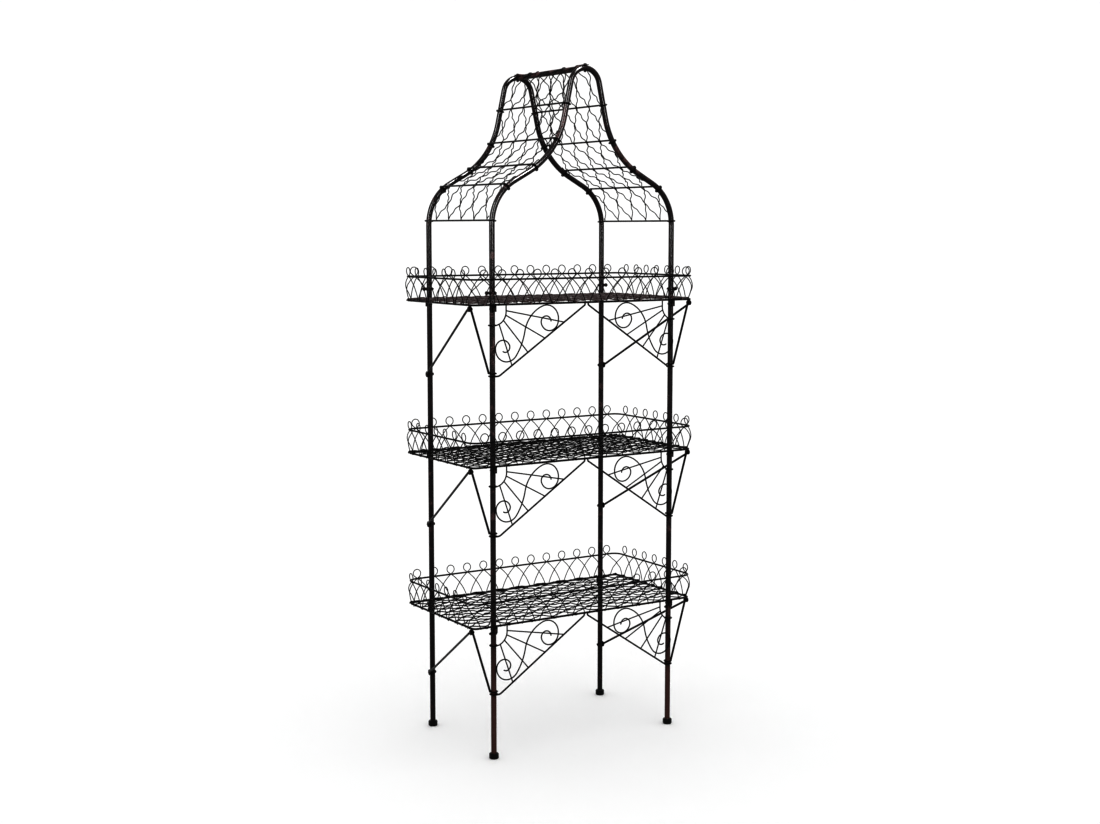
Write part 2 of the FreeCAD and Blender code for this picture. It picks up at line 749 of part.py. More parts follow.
def shelf_net():
    """Two layers of crossed wires, welded where they cross and cut away round the legs."""
    radius = size("net_wire / 2")
    cell = size(f"2 * ( {FRAME_X} ) / net_cells_x")
    drift = cell * size("net_cells_y")
    columns = int(size("net_cells_x"))
    beyond = int(size("net_cells_y")) + 1
    wires = []
    for lean in (1, -1):
        z = size("frame_rod") + radius + TOUCH + (0 if lean > 0 else size("net_wire") * WELD_STEP)
        for number in range(-beyond, columns + beyond + 1):
            line = net_line(number * cell - size(FRAME_X), lean * drift)
            if line:
                wires.append(straight_rod(*[Vector(x, y, z) for x, y in line], radius))
    net = wires[0].multiFuse(wires[1:])
    clear = size("tube_diameter / 2 + net_leg_gap")
    for _, end in ENDS:
        for _, side in SIDES:
            foot = Vector(side * HALF_X, end * HALF_Y, 0)
            net = net.cut(Part.makeCylinder(clear, 4 * size("frame_rod"), foot, Z_AXIS))
    return net


def outline_length(half_x, half_y, corner):
    """A quarter of a rounded outline: from the middle of the front to the middle of a side."""
    return size(f"{half_x} + {half_y}") - size(corner) * (2 - pi / 2)


def edge_line(distance, half_x, half_y, corner, out):
    """Point, direction and outward normal on a rounded outline, pushed outwards.

    The distance runs anticlockwise from the middle of the front, and backwards if negative.
    """
    radius = size(corner)
    straight_x = size(half_x) - radius
    straight_y = size(half_y) - radius
    bend_length = radius * pi / 2
    pieces = [
        (straight_x, 0.0, 0.0),
        (bend_length, 90.0, radius),
        (2 * straight_y, 0.0, 0.0),
        (bend_length, 90.0, radius),
        (straight_x, 0.0, 0.0),
    ]
    start = Vector(0, 0, -straight_y - radius)
    point, angle = walk(start, 0.0, pieces, abs(distance))
    point += heading(angle - 90) * out
    along, outward = heading(angle), heading(angle - 90)
    if distance < 0:
        return (
            Vector(-point.x, point.z, 0),
            Vector(along.x, -along.z, 0),
            Vector(-outward.x, outward.z, 0),
        )
    return tuple(Vector(v.x, v.z, 0) for v in (point, along, outward))


def gallery_face(distance, height, aside):
    """Point, way along, way up and way out on the face that the looped wires lie in.

    The face leans out a little, from just outside the frame's rod to just outside the rail's.
    The distance is measured on the rail.
    """
    off_rod = 2 * (size("gallery_wire / 2") + TOUCH) + aside
    frame, rail = (FRAME_X, FRAME_Y, "frame_corner"), (RAIL_X, RAIL_Y, "rail_corner")
    shrink = outline_length(*frame) / outline_length(*rail)
    foot, foot_along, _ = edge_line(distance * shrink, *frame, size("frame_rod / 2") + off_rod)
    head, head_along, outward = edge_line(distance, *rail, size("rail_rod / 2") + off_rod)
    share = height / size("rail_height")
    up = Z_AXIS + (head - foot) * (1 / size("rail_height"))
    along = (foot_along * (1 - share) + head_along * share).normalize()
    return foot + up * height, along, up, outward


def loop_path(reach):
    """Half of a gallery wire, laid flat: (along, up, angle, travelled past the crossing).

    An arc climbs from the foot to the rail, where the wire crosses itself, and runs on as a
    tangent into the round loop above.
    """
    height = size("rail_height") - WIRE_FOOT
    loop = size("loop_radius")
    cross = radians(CROSS_ANGLE)
    foot = 2 * atan2(height, reach) - cross
    sweep = sqrt(reach**2 + height**2) / 2 / sin((foot - cross) / 2)
    tangent = loop * tan(cross)
    path = []
    for n in range(5):
        angle = foot + (cross - foot) * n / 4
        along = -reach + sweep * (sin(foot) - sin(angle))
        path.append((along, sweep * (cos(angle) - cos(foot)), angle, 0.0))
    for n in range(4):
        angle = cross + (pi - cross) * n / 3
        up = height + loop / cos(cross) - loop * cos(angle)
        path.append((loop * sin(angle), up, angle, tangent + loop * (angle - cross)))
    return path


def gallery_wire(centre, pitch):
    """One looped wire: up from its foot, over the rail in a loop, and down past itself.

    The way up is in the outer plane and the way down in the inner one, a wire apart, all the
    way round the shelf, so that neighbours pass each other.
    """
    radius = size("gallery_wire / 2")
    shift = radius + TOUCH
    half = loop_path(pitch * size("wire_reach"))
    loop_length = 2 * half[-1][3]
    back = [(-u, w, 2 * pi - angle, loop_length - s) for u, w, angle, s in reversed(half[:-1])]
    stations = []
    for along_rail, up, angle, travelled in half + back:
        aside = shift * (1 - 2 * travelled / loop_length)
        face = gallery_face(centre + along_rail, WIRE_FOOT + up, aside)
        point, way_along, way_up, outward = face
        tangent = way_along * cos(angle) + way_up * sin(angle)
        if 0 < travelled < loop_length:
            tangent += outward * (-2 * shift / loop_length)
        stations.append((point, tangent.normalize()))
    return bent_wire(stations, radius)


def gallery_side(middle, count, pitch):
    """The wires of one side, its middle loop at a distance along the rail's outline."""
    numbers = range(-(count // 2), count // 2 + 1)
    return Part.makeCompound([gallery_wire(middle + n * pitch, pitch) for n in numbers])


def add_shelves():
    net = shelf_net()
    quarter = outline_length(RAIL_X, RAIL_Y, "rail_corner")
    long_wires = gallery_side(0, int(size("long_loops")), size("long_pitch"))
    short_wires = gallery_side(quarter, int(size("short_loops")), size("short_pitch"))
    half_turn = Rotation(Z_AXIS, 180)
    for name in SHELVES:
        level = f"{name}_shelf_z"
        frame = rod_frame(f"{name}_shelf_frame", FRAME_X, FRAME_Y, "frame_corner", "frame_rod")
        add_lugs(frame)
        add_strut_tabs(frame)
        place(frame, z=f"{level} + frame_rod / 2")
        place(shaped(f"{name}_shelf_net", net), z=level)
        rail = rod_frame(f"{name}_gallery_rail", RAIL_X, RAIL_Y, "rail_corner", "rail_rod")
        place(rail, z=f"{level} + rail_height")
        place(shaped(f"{name}_gallery_front", long_wires), z=level)
        place(shaped(f"{name}_gallery_rear", long_wires), z=level, rotation=half_turn)
        place(shaped(f"{name}_gallery_right", short_wires), z=level)
        place(shaped(f"{name}_gallery_left", short_wires), z=level, rotation=half_turn)


# ---------------------------------------------------------------- struts


def cylinder(name, start, end, radius):
    """A Part cylinder between two points, its radius bound to the sheet."""
    thing = doc.addObject("Part::Cylinder", name)
    bind(thing, Radius=radius)
    thing.Height = (end - start).Length
    thing.Placement = Placement(start, Rotation(Z_AXIS, end - start))
    return thing


def finish_strut(label, pieces, holes):
    """Weld a strut's pieces, then drill its eyes."""
    welded = doc.addObject("Part::MultiFuse", f"{label}_welded")
    welded.Shapes = pieces
    drills = doc.addObject("Part::Compound", f"{label}_drills")
    drills.Links = holes
    cut = doc.addObject("Part::Cut", label)
    cut.Label = label
    cut.Base = welded
    cut.Tool = drills
    return cut


EYE_WELD = 6.0  # end of a strut's rod from the corner bolt's axis
LOW_WELD = 7.5  # the same at the low eye of a long strut
RING_WELD = 1.5  # end of a short strut's rod beyond its ring
DRILL_PAST = 1.0  # drills run on past both faces of an eye


def strut_corner(level, side, face):
    """The corner bolt's axis on the outer (1) or inner (-1) face of the frame's tab."""
    x = size(FRAME_X) + face * size("lug_plate / 2")
    return Vector(side * x, -size(STRUT_Y), level - size("strut_bolt_drop"))


def eye_drill(name, start, away):
    """Drill for an eye whose one face is at the start."""
    depth = size("strut_eye") + DRILL_PAST
    return cylinder(name, start - away * DRILL_PAST, start + away * depth, "bolt_hole / 2")


def add_short_strut(shelf, side_name, side):
    """From the inner side of the corner tab down to a ring round the front leg."""
    label = f"{shelf}_{side_name}_short_strut"
    level = size(f"{shelf}_shelf_z")
    eye = size("strut_eye")
    inward = Vector(-side, 0, 0)
    corner = strut_corner(level, side, -1)
    leg = Vector(side * HALF_X, -HALF_Y, level - size("short_strut_drop"))
    bottom = leg - inward * (size(RING_RADIUS) + RING_WELD)
    beside = corner + inward * (eye * 0.75)
    top = beside + (bottom - beside).normalize() * EYE_WELD
    ring = doc.addObject("Part::Torus", f"{label}_ring")
    bind(ring, Radius1=RING_RADIUS, Radius2="ring_rod / 2")
    ring.Placement = Placement(leg, Rotation())
    pieces = [
        cylinder(f"{label}_eye", corner, corner + inward * eye, "top_eye / 2"),
        cylinder(f"{label}_rod", top, bottom, "strut_rod / 2"),
        ring,
    ]
    finish_strut(label, pieces, [eye_drill(f"{label}_drill", corner, inward)])


def add_long_strut(shelf, side_name, side):
    """From the outer side of the corner tab down to a bolt on the rear leg's outer side."""
    label = f"{shelf}_{side_name}_long_strut"
    level = size(f"{shelf}_shelf_z")
    eye = size("strut_eye")
    outside = Vector(side, 0, 0)
    corner = strut_corner(level, side, 1)
    leg_face = side * size("leg_span_x / 2 + tube_diameter / 2")
    low = Vector(leg_face, HALF_Y, level - size("long_strut_drop"))
    start = corner + outside * (eye * 1.75)
    stop = low + outside * size("strut_rod / 2")
    reach = (stop - start).normalize()
    pieces = [
        cylinder(f"{label}_top_eye", corner, corner + outside * eye, "top_eye / 2"),
        cylinder(
            f"{label}_rod", start + reach * EYE_WELD, stop - reach * LOW_WELD, "strut_rod / 2"
        ),
        cylinder(f"{label}_low_eye", low, low + outside * eye, "low_eye / 2"),
    ]
    holes = [
        eye_drill(f"{label}_top_drill", corner, outside),
        eye_drill(f"{label}_low_drill", low, outside),
    ]
    finish_strut(label, pieces, holes)


def add_struts():
    for shelf in SHELVES:
        for side_name, side in SIDES:
            add_short_strut(shelf, side_name, side)
            add_long_strut(shelf, side_name, side)


# ---------------------------------------------------------------- fan brackets


def turtle(start, angle, moves):
    """Stations along straights and bends in the bracket's plane: (length, turn, radius)."""
    stations = [(start, heading(angle))]
    for length, turn, radius in moves:
        parts = max(1, round(abs(turn) / 60))
        for _ in range(parts):
            start, angle = step(start, angle, length / parts, turn, radius)
            stations.append((start, heading(angle)))
    return stations


def scroll_half(start, angle, bends):
    """Stations of clockwise bends, each as (degrees, radius), that wind into a spiral."""
    moves = [(radius * radians(turn), -turn, radius) for turn, radius in bends]
    return turtle(start, angle, moves)


# The S scroll leaves its middle both ways and winds clockwise, wide bends first.
UPPER_SCROLL = ((59, 94.5), (132, 40.7), (142, 29.6), (195, 16.9))
LOWER_SCROLL = ((25, 173.5), (145, 37.9), (156, 24.2), (150, 14.5))
SCROLL_SLOPE = 79.5
SCROLL_MIDDLE = Vector(100, 0, -75.5)  # from the leg's axis at the frame's underside
SCROLL_LAP = 0.85  # scroll and rays overlap a little, to be welded
KNEE = 15.0  # the diagonal's bend from the leg's axis
KNEE_BEND = 6.0  # length of that bend, each way


def fan_bracket():
    """The left bracket of a shelf, with the shelf frame's underside at z = 0."""
    plane = Vector(0, -size(FRAME_Y), 0)
    leg = plane + Vector(-HALF_X, 0, 0)
    rod, ray, scroll = size("fan_rod / 2"), size("ray_rod / 2"), size("scroll_rod / 2")
    drop = size("fan_drop")
    down, level = Z_AXIS * -1, X_AXIS * -1
    slant = heading(180 + size("fan_slope"))
    low = leg + Vector(0, 0, -drop)
    # The diagonal's line passes through its bend by the leg and rises to the middle.
    knee = low + Vector(KNEE, 0, 0)
    upper_end = knee - slant * (drop - 6) / sin(radians(size("fan_slope")))
    diagonal = bent_wire(
        [
            (plane + Vector(-rod - 3, 0, -TOUCH), down),
            (upper_end, slant),
            (knee - slant * KNEE_BEND, slant),
            (knee + level * KNEE_BEND, level),
            (low, level),
        ],
        rod,
    )
    arc_radius = size("fan_arc_radius")
    centre = leg + Vector(0, 0, arc_radius - size("fan_arc_drop"))
    hub_arc = bent_wire(
        [
            (leg + Vector(arc_radius, 0, -TOUCH), down),
            (centre + Vector(arc_radius, 0, 0), down),
            (centre + heading(-45) * arc_radius, heading(-135)),
            (centre - Vector(0, 0, arc_radius), level),
        ],
        scroll,
    )
    pieces = [diagonal, hub_arc]
    for ring_drop in (drop, size("fan_arc_drop")):
        middle = Vector(-HALF_X, -HALF_Y, -ring_drop)
        pieces.append(Part.makeTorus(size(RING_RADIUS), size("ring_rod / 2"), middle, Z_AXIS))
    hub = leg - Z_AXIS * size("hub_drop")
    rise = hub.z - centre.z
    for name in ("first", "second", "third", "fourth"):
        aim = heading(-size(f"{name}_ray"))
        start = sqrt(arc_radius**2 - (rise * aim.x) ** 2) - rise * aim.z
        across = slant.cross(Y_AXIS)
        stop = (knee - hub).dot(across) / aim.dot(across)
        pieces.append(straight_rod(hub + aim * start, hub + aim * stop, ray))
    middle = leg + SCROLL_MIDDLE - Y_AXIS * (ray + scroll) * SCROLL_LAP
    upper = scroll_half(middle, SCROLL_SLOPE, UPPER_SCROLL)
    lower = scroll_half(middle, SCROLL_SLOPE + 180, LOWER_SCROLL)
    whole = [(point, tangent * -1) for point, tangent in reversed(lower)] + upper[1:]
    pieces.append(bent_wire(whole, scroll))
    return pieces[0].multiFuse(pieces[1:])


def add_fan_brackets():
    bracket = fan_bracket()
    for name in SHELVES:
        left = place(shaped(f"{name}_left_fan_bracket", bracket), z=f"{name}_shelf_z")
        mirrored(f"{name}_right_fan_bracket", left, X_AXIS)


# ---------------------------------------------------------------- bolts and nuts


def bolt_body(label, length):
    """A round-headed bolt along +Z, with the underside of its head at z = 0."""
    body = new_body(label)
    profile = new_sketch(body, "profile", "XZ_Plane")
    add_outline(profile, [
        ("0", f"-( {length} )"),
        ("bolt_shank / 2", f"-( {length} )"),
        ("bolt_shank / 2", "0"),
        ("bolt_head / 2", "0"),
        ("bolt_head / 2", "bolt_head_height * 0.45"),
        ("bolt_head * 0.36", "bolt_head_height * 0.85"),
        ("bolt_head * 0.18", "bolt_head_height"),
        ("0", "bolt_head_height"),
    ])
    turned = body.newObject("PartDesign::Revolution", f"{label}_turned")
    turned.Profile = profile
    turned.ReferenceAxis = (profile, ["V_Axis"])
    turned.Angle = 360
    return body


def nut_master():
    """A hexagon nut whose lower face is at z = 0, to be placed against a tube."""
    hexagon = doc.addObject("Part::Prism", "nut_hexagon")
    hexagon.Polygon = 6
    bind(hexagon, Circumradius="nut_size / 2", Height="nut_height")
    thread = doc.addObject("Part::Cylinder", "nut_thread")
    bind(thread, Radius="bolt_shank / 2", Height="nut_height")
    nut = doc.addObject("Part::Cut", "nut")
    nut.Base = hexagon
    nut.Tool = thread
    return nut


def link_to(source, name, x, y, z, direction):
    """A placed copy of a fastener, its own +Z turned to the direction."""
    link = doc.addObject("App::Link", name)
    link.LinkedObject = source
    return place(link, x, y, z, Rotation(Z_AXIS, direction))


def add_fasteners():
    nut = nut_master()
    tube_bolt = bolt_body("tube_bolt", "tube_diameter + ridge_tab + nut_height + 1")
    shelf_bolt = bolt_body("shelf_bolt", "tube_diameter + lug_plate + nut_height + 1")
    strut_bolt = bolt_body("strut_bolt", "tube_diameter + strut_eye + nut_height + 1")
    corner_bolt = bolt_body("corner_bolt", "2 * strut_eye + lug_plate + nut_height + 1")
    face = "tube_diameter / 2"
    tube_set, shelf_set, strut_set = [], [], []
    for end_name, end in ENDS:
        for side_name, side in SIDES:
            x, y = leg_corner(side, end)
            corner = f"{end_name}_{side_name}"
            for joint, z, way in (("lower", LOWER_BOLT_Z, 1), ("upper", UPPER_BOLT_Z, side)):
                out = Vector(way, 0, 0)
                tube_set += [
                    link_to(tube_bolt, f"{corner}_{joint}_joint_bolt",
                            f"{x} + {way} * {face}", y, z, out),
                    link_to(nut, f"{corner}_{joint}_joint_nut",
                            f"{x} - {way} * {face}", y, z, out * -1),
                ]
            for shelf in SHELVES:
                z = f"{shelf}_shelf_z - lug_bolt_drop"
                out = Vector(0, end, 0)
                shelf_set += [
                    link_to(shelf_bolt, f"{corner}_{shelf}_shelf_bolt",
                            x, f"{y} + {end} * ( {face} + lug_plate )", z, out),
                    link_to(nut, f"{corner}_{shelf}_shelf_nut",
                            x, f"{y} - {end} * {face}", z, out * -1),
                ]
    for side_name, side in SIDES:
        for shelf in SHELVES:
            out = Vector(side, 0, 0)
            x, y = leg_corner(side, 1)
            z = f"{shelf}_shelf_z - long_strut_drop"
            beside_tab = "( lug_plate / 2 + strut_eye )"
            corner_x, corner_y = f"{side} * ( {FRAME_X} )", f"-( {STRUT_Y} )"
            corner_z = f"{shelf}_shelf_z - strut_bolt_drop"
            strut_set += [
                link_to(strut_bolt, f"{shelf}_{side_name}_strut_bolt",
                        f"{x} + {side} * ( {face} + strut_eye )", y, z, out),
                link_to(nut, f"{shelf}_{side_name}_strut_nut",
                        f"{x} - {side} * {face}", y, z, out * -1),
                link_to(corner_bolt, f"{shelf}_{side_name}_corner_bolt",
                        f"{corner_x} + {side} * {beside_tab}", corner_y, corner_z, out),
                link_to(nut, f"{shelf}_{side_name}_corner_nut",
                        f"{corner_x} - {side} * {beside_tab}", corner_y, corner_z, out * -1),
            ]
    for end_name, end in ENDS:
        y = f"{end} * leg_span_y / 2"
        tube_set += [
            link_to(tube_bolt, f"{end_name}_ridge_bolt",
                    "0", y, f"{PEAK_Z} + {face} + ridge_tab", Z_AXIS),
            link_to(nut, f"{end_name}_ridge_nut", "0", y, f"{PEAK_Z} - {face}", Z_AXIS * -1),
        ]
    group("tube_bolts", tube_set)
    group("shelf_bolts", shelf_set)
    group("strut_bolts", strut_set)


# ---------------------------------------------------------------- build, check and write


def node_names():
    names = ["front_arch", "rear_arch", "ridge_tube", "joint_sleeves", "foot_caps"]
    names += ["left_roof_rods", "right_roof_rods", "left_roof_net", "right_roof_net"]
    names += ["tube_bolts", "shelf_bolts", "strut_bolts"]
    for end_name, _ in ENDS:
        for side_name, _ in SIDES:
            names += [f"{end_name}_{side_name}_lower_leg", f"{end_name}_{side_name}_upper_leg"]
    for shelf in SHELVES:
        names += [f"{shelf}_shelf_frame", f"{shelf}_shelf_net", f"{shelf}_gallery_rail"]
        names += [f"{shelf}_gallery_{side}" for side in ("front", "rear", "left", "right")]
        for side_name, _ in SIDES:
            names += [f"{shelf}_{side_name}_{piece}"
                      for piece in ("short_strut", "long_strut", "fan_bracket")]
    return names


add_legs()
add_arches()
add_sleeves()
add_ridge()
add_feet()
add_roof_rods()
add_roof_nets()
add_shelves()
add_struts()
add_fan_brackets()
add_fasteners()
doc.recompute()

for thing in doc.Objects:
    if "Invalid" in thing.State or "Error" in thing.State:
        raise RuntimeError(f"{thing.Label} failed: {thing.State}")

os.makedirs("parts", exist_ok=True)
for name in node_names():
    shape = doc.getObject(name).Shape
    if shape.isNull() or not shape.isValid() or not shape.Solids:
        raise RuntimeError(f"{name} has no valid solid")
    shape.exportStep(f"parts/{name}.step")
    print(f"{name}: {len(shape.Solids)} solids, {shape.Volume / 1000:.2f} cm3")
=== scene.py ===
# %% [markdown]
# # A bakers rack with a bell-shaped roof
#
# The real rack is bent from steel tube, rod and wire, and comes apart into legs, arches, shelves and
# struts. Its construction is already modelled, so every tube, bolt and rod frame arrives here as a
# finished mesh, in metres, at its own place. What is left for Blender is what a drawing of the
# construction leaves out: nets that somebody bent by hand from wavy wire, enamel that has rubbed
# through to a warm brown, and the light to see them by.

from math import asin, cos, hypot, pi, radians, sin
from random import Random

import bpy
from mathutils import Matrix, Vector


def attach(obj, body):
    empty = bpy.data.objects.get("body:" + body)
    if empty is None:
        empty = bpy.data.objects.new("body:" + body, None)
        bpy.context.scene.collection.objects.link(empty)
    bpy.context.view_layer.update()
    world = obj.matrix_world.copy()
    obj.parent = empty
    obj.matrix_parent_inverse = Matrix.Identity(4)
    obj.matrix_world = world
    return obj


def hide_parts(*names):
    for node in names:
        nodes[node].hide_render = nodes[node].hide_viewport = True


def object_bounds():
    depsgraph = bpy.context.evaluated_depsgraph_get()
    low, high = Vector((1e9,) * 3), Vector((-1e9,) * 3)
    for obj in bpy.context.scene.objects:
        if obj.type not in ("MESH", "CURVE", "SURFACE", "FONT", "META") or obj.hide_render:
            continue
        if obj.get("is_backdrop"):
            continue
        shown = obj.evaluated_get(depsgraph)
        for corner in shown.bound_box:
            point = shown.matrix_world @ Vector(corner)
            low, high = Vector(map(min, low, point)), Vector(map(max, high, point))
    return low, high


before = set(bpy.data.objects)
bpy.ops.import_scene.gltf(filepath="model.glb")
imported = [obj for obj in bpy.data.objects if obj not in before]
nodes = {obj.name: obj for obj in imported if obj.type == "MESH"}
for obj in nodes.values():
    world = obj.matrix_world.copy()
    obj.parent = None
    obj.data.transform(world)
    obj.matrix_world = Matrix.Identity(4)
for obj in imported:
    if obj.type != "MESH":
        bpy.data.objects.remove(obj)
construction_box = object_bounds()
print(len(nodes), "pieces of the construction")
print("inside", [[round(v, 3) for v in end] for end in construction_box])

# %% [markdown]
# ## Sums that build materials
#
# A finish such as worn enamel is a sum: this colour here, that colour there, rougher where it is
# rubbed. Blender writes such sums as Math nodes and links, which are slow to read. A small class can
# wrap a node's output and overload the operators, so that `1 - worn * 0.4` adds its nodes by itself.
# One more method adds every other kind of node. Groups or scripts written in Blender's shading
# language could do the same, but neither of them survives an export as well as plain nodes do.

# %% A socket that knows arithmetic
# The Mix node has a set of sockets for each kind of value. These are the ones for colours.
COLOUR_A, COLOUR_B, COLOUR_RESULT = 6, 7, 2


class Paint:
    """A node's output in a material, ready for sums."""

    def __init__(self, tree, output=None):
        self.tree = tree
        self.output = output

    def node(self, kind, settings, sockets, give=0):
        """Adds any node: its settings first, then the values or links of its sockets."""
        made = self.tree.nodes.new(kind)
        for name, value in settings.items():
            setattr(made, name, value)
        for name, value in sockets.items():
            if isinstance(value, Paint):
                self.tree.links.new(value.output, made.inputs[name])
            else:
                made.inputs[name].default_value = value
        return Paint(self.tree, made.outputs[give] if made.outputs else None)

    def math(self, operation, first, second):
        return self.node("ShaderNodeMath", {"operation": operation}, {0: first, 1: second})

    def __add__(self, other):
        return self.math("ADD", self, other)

    def __sub__(self, other):
        return self.math("SUBTRACT", self, other)

    def __rsub__(self, other):
        return self.math("SUBTRACT", other, self)

    def __mul__(self, other):
        return self.math("MULTIPLY", self, other)

    __radd__ = __add__
    __rmul__ = __mul__

    def step(self, low, high):
        """0 below low, 1 above high, and a smooth rise between."""
        settings = {"interpolation_type": "SMOOTHSTEP"}
        return self.node("ShaderNodeMapRange", settings, {"Value": self, "From Min": low, "From Max": high})

    def between(self, plain, other):
        """The plain colour where this is 0, and the other where it is 1."""
        sockets = {"Factor": self, COLOUR_A: plain, COLOUR_B: other}
        return self.node("ShaderNodeMix", {"data_type": "RGBA"}, sockets, give=COLOUR_RESULT)


print("made Paint:", Paint.__doc__)

# %% [markdown]
# ## Noise at a real scale
#
# Enamel, rubber and bare steel differ in the size of what varies on them: drips of a few
# centimetres, scuffs of a few millimetres, and a skin finer than a pinhead. The rack's pieces are
# modelled in place, so their Object coordinates are metres on the real rack, and a noise of scale
# 100 has features of about a centimetre on every piece alike. No unwrapping is needed.

# %% Start and close a finish
def new_finish(name):
    """An empty material, and the coordinates in metres that its noises use."""
    material = bpy.data.materials.new(name)
    material.use_nodes = True
    material.node_tree.nodes.clear()
    start = Paint(material.node_tree)
    return material, start.node("ShaderNodeTexCoord", {}, {}, give="Object")


def noise(place, scale, detail=2.0, roughness=0.5):
    """A cloudy value around a half, with that many features to the metre."""
    sockets = {"Vector": place, "Scale": scale, "Detail": detail, "Roughness": roughness}
    return place.node("ShaderNodeTexNoise", {}, sockets)


def bump(place, height, depth):
    """A normal that is dented by a height, whose full range is a depth in metres."""
    return place.node("ShaderNodeBump", {}, {"Height": height, "Distance": depth, "Strength": 1.0})


def finish(place, **sockets):
    """Closes a material with its surface. Socket names are written with underscores for spaces."""
    named = {name.replace("_", " "): value for name, value in sockets.items()}
    surface = place.node("ShaderNodeBsdfPrincipled", {}, named)
    place.node("ShaderNodeOutputMaterial", {}, {"Surface": surface})


print("helpers:", [helper.__name__ for helper in (new_finish, noise, bump, finish)])

# %% [markdown]
# ## Black enamel over brown primer
#
# The tubes are dipped in black enamel over a red-brown primer. The enamel is glossy, a little uneven
# where it ran, and thin near the floor, where the brown shows through along the two front legs. It
# has also rubbed through in patches on the tubes of the roof. All of it is one recipe with a few
# numbers changed: how brown the piece is near the floor, how many patches it has, and how smooth
# its skin is. The net of the top shelf is painted in lighter browns than the other nets. That is
# partly a browner enamel and partly painted sheen, the paleness that a net seen at a low angle
# takes on. It also shines more at a low angle.

# %% The enamel's colours
BLACK = (0.0010, 0.0009, 0.0009, 1.0)
SOFT_BLACK = (0.0026, 0.0020, 0.0021, 1.0)
# The two browns of the top net are partly its browner enamel and partly painted sheen, the paleness of a
# net seen at a low angle.
DARK_BROWN_AND_SHEEN = (0.0400, 0.0210, 0.0215, 1.0)
LIGHT_BROWN_AND_SHEEN = (0.0800, 0.0500, 0.0480, 1.0)
PRIMER = (0.0085, 0.0040, 0.0034, 1.0)
RUBBED = (0.0170, 0.0090, 0.0088, 1.0)
print("from black to brown:", [colour[0] for colour in (BLACK, SOFT_BLACK, PRIMER, RUBBED)])

# %% The enamel recipe
PRIMER_BELOW = (0.10, 0.52)  # all primer at the first height, none from the second, in metres


def enamel(name, patches, near_floor, roughness, skin, blacks=(BLACK, SOFT_BLACK), shine=0.10):
    """Enamel with that share of rubbed patches, that much primer near the floor, and that skin."""
    material, place = new_finish(name)
    height = place.node("ShaderNodeSeparateXYZ", {}, {"Vector": place}, give="Z")
    drips = noise(place, scale=22, detail=3)
    scuffs = noise(place, scale=260, detail=4, roughness=0.6)
    low = (1 - height.step(*PRIMER_BELOW)) * near_floor
    brown = (low + drips.step(0.52, 0.72) * patches * 0.5).step(0.05, 1.0)
    worn = (drips + scuffs * 0.35).step(0.80 - patches * 0.12, 0.90 - patches * 0.10)
    colour = noise(place, scale=70, detail=2).between(*blacks)
    colour = brown.between(colour, PRIMER)
    colour = (worn * (0.35 + patches * 0.4)).between(colour, RUBBED)
    dents = noise(place, scale=900, detail=2) * 0.5 + scuffs
    finish(
        place,
        Base_Color=colour,
        Roughness=scuffs * 0.10 + worn * 0.16 + brown * 0.06 + roughness,
        Metallic=worn * 0.25,
        Normal=bump(place, dents, skin),
        Specular_IOR_Level=shine,
    )
    return material


tube_enamel = enamel("tube_enamel", patches=0.35, near_floor=0.10, roughness=0.13, skin=0.00005)
front_leg_enamel = enamel("front_leg_enamel", patches=0.35, near_floor=0.95, roughness=0.16, skin=0.00005)
ridge_enamel = enamel("ridge_enamel", patches=1.0, near_floor=0.0, roughness=0.46, skin=0.00025)
rod_enamel = enamel("rod_enamel", patches=0.20, near_floor=0.25, roughness=0.26, skin=0.00008)
wire_enamel = enamel("wire_enamel", patches=0.15, near_floor=0.15, roughness=0.34, skin=0.00010)
# The top net's lighter browns are partly painted sheen.
top_net_sheen_enamel = enamel(
    "top_net_sheen_enamel",
    patches=0.15,
    near_floor=0.0,
    roughness=0.30,
    skin=0.00010,
    blacks=(DARK_BROWN_AND_SHEEN, LIGHT_BROWN_AND_SHEEN),
    shine=0.5,
)
print("enamels:", [m.name for m in bpy.data.materials if m.name.endswith("enamel")])

# %% [markdown]
# ## Fasteners, bare steel and rubber
#
# The bolts are blackened steel, which is a thin dark oxide and not a paint: it shines like metal and
# keeps the marks of the tool. The sleeves inside the tube joints are plain steel. The feet are
# moulded rubber, matt, faintly dusty, and smooth only where a hand has held them.

# %% Two steels
OXIDE, WORN_OXIDE = (0.012, 0.010, 0.010, 1.0), (0.050, 0.038, 0.034, 1.0)
STEEL, BRIGHT_STEEL = (0.30, 0.30, 0.31, 1.0), (0.48, 0.48, 0.49, 1.0)
DRAWN_LONG = (1.0, 1.0, 0.04)  # stretches a noise along the tube, as drawing does


def blackened_steel():
    """Steel with a thin dark oxide."""
    material, place = new_finish("blackened_steel")
    oxide = noise(place, scale=420, detail=4, roughness=0.6)
    finish(
        place,
        Base_Color=oxide.step(0.35, 0.75).between(OXIDE, WORN_OXIDE),
        Metallic=0.85,
        Roughness=oxide * 0.25 + 0.28,
        Normal=bump(place, oxide, 0.00006),
    )
    return material


def plain_steel():
    """Drawn steel with fine lines along the tube."""
    material, place = new_finish("plain_steel")
    drawn = place.node("ShaderNodeMapping", {}, {"Vector": place, "Scale": DRAWN_LONG})
    lines = noise(drawn, scale=1500, detail=3)
    finish(
        place,
        Base_Color=lines.between(STEEL, BRIGHT_STEEL),
        Metallic=1.0,
        Roughness=lines * 0.2 + 0.3,
        Normal=bump(place, lines, 0.00002),
    )
    return material


small_finishes = {"blackened_fastener": blackened_steel(), "plain_steel": plain_steel()}
print("steels:", sorted(small_finishes))

# %% Rubber for the feet
RUBBER, DUSTY_RUBBER = (0.0012, 0.0011, 0.0011, 1.0), (0.0045, 0.0040, 0.0038, 1.0)


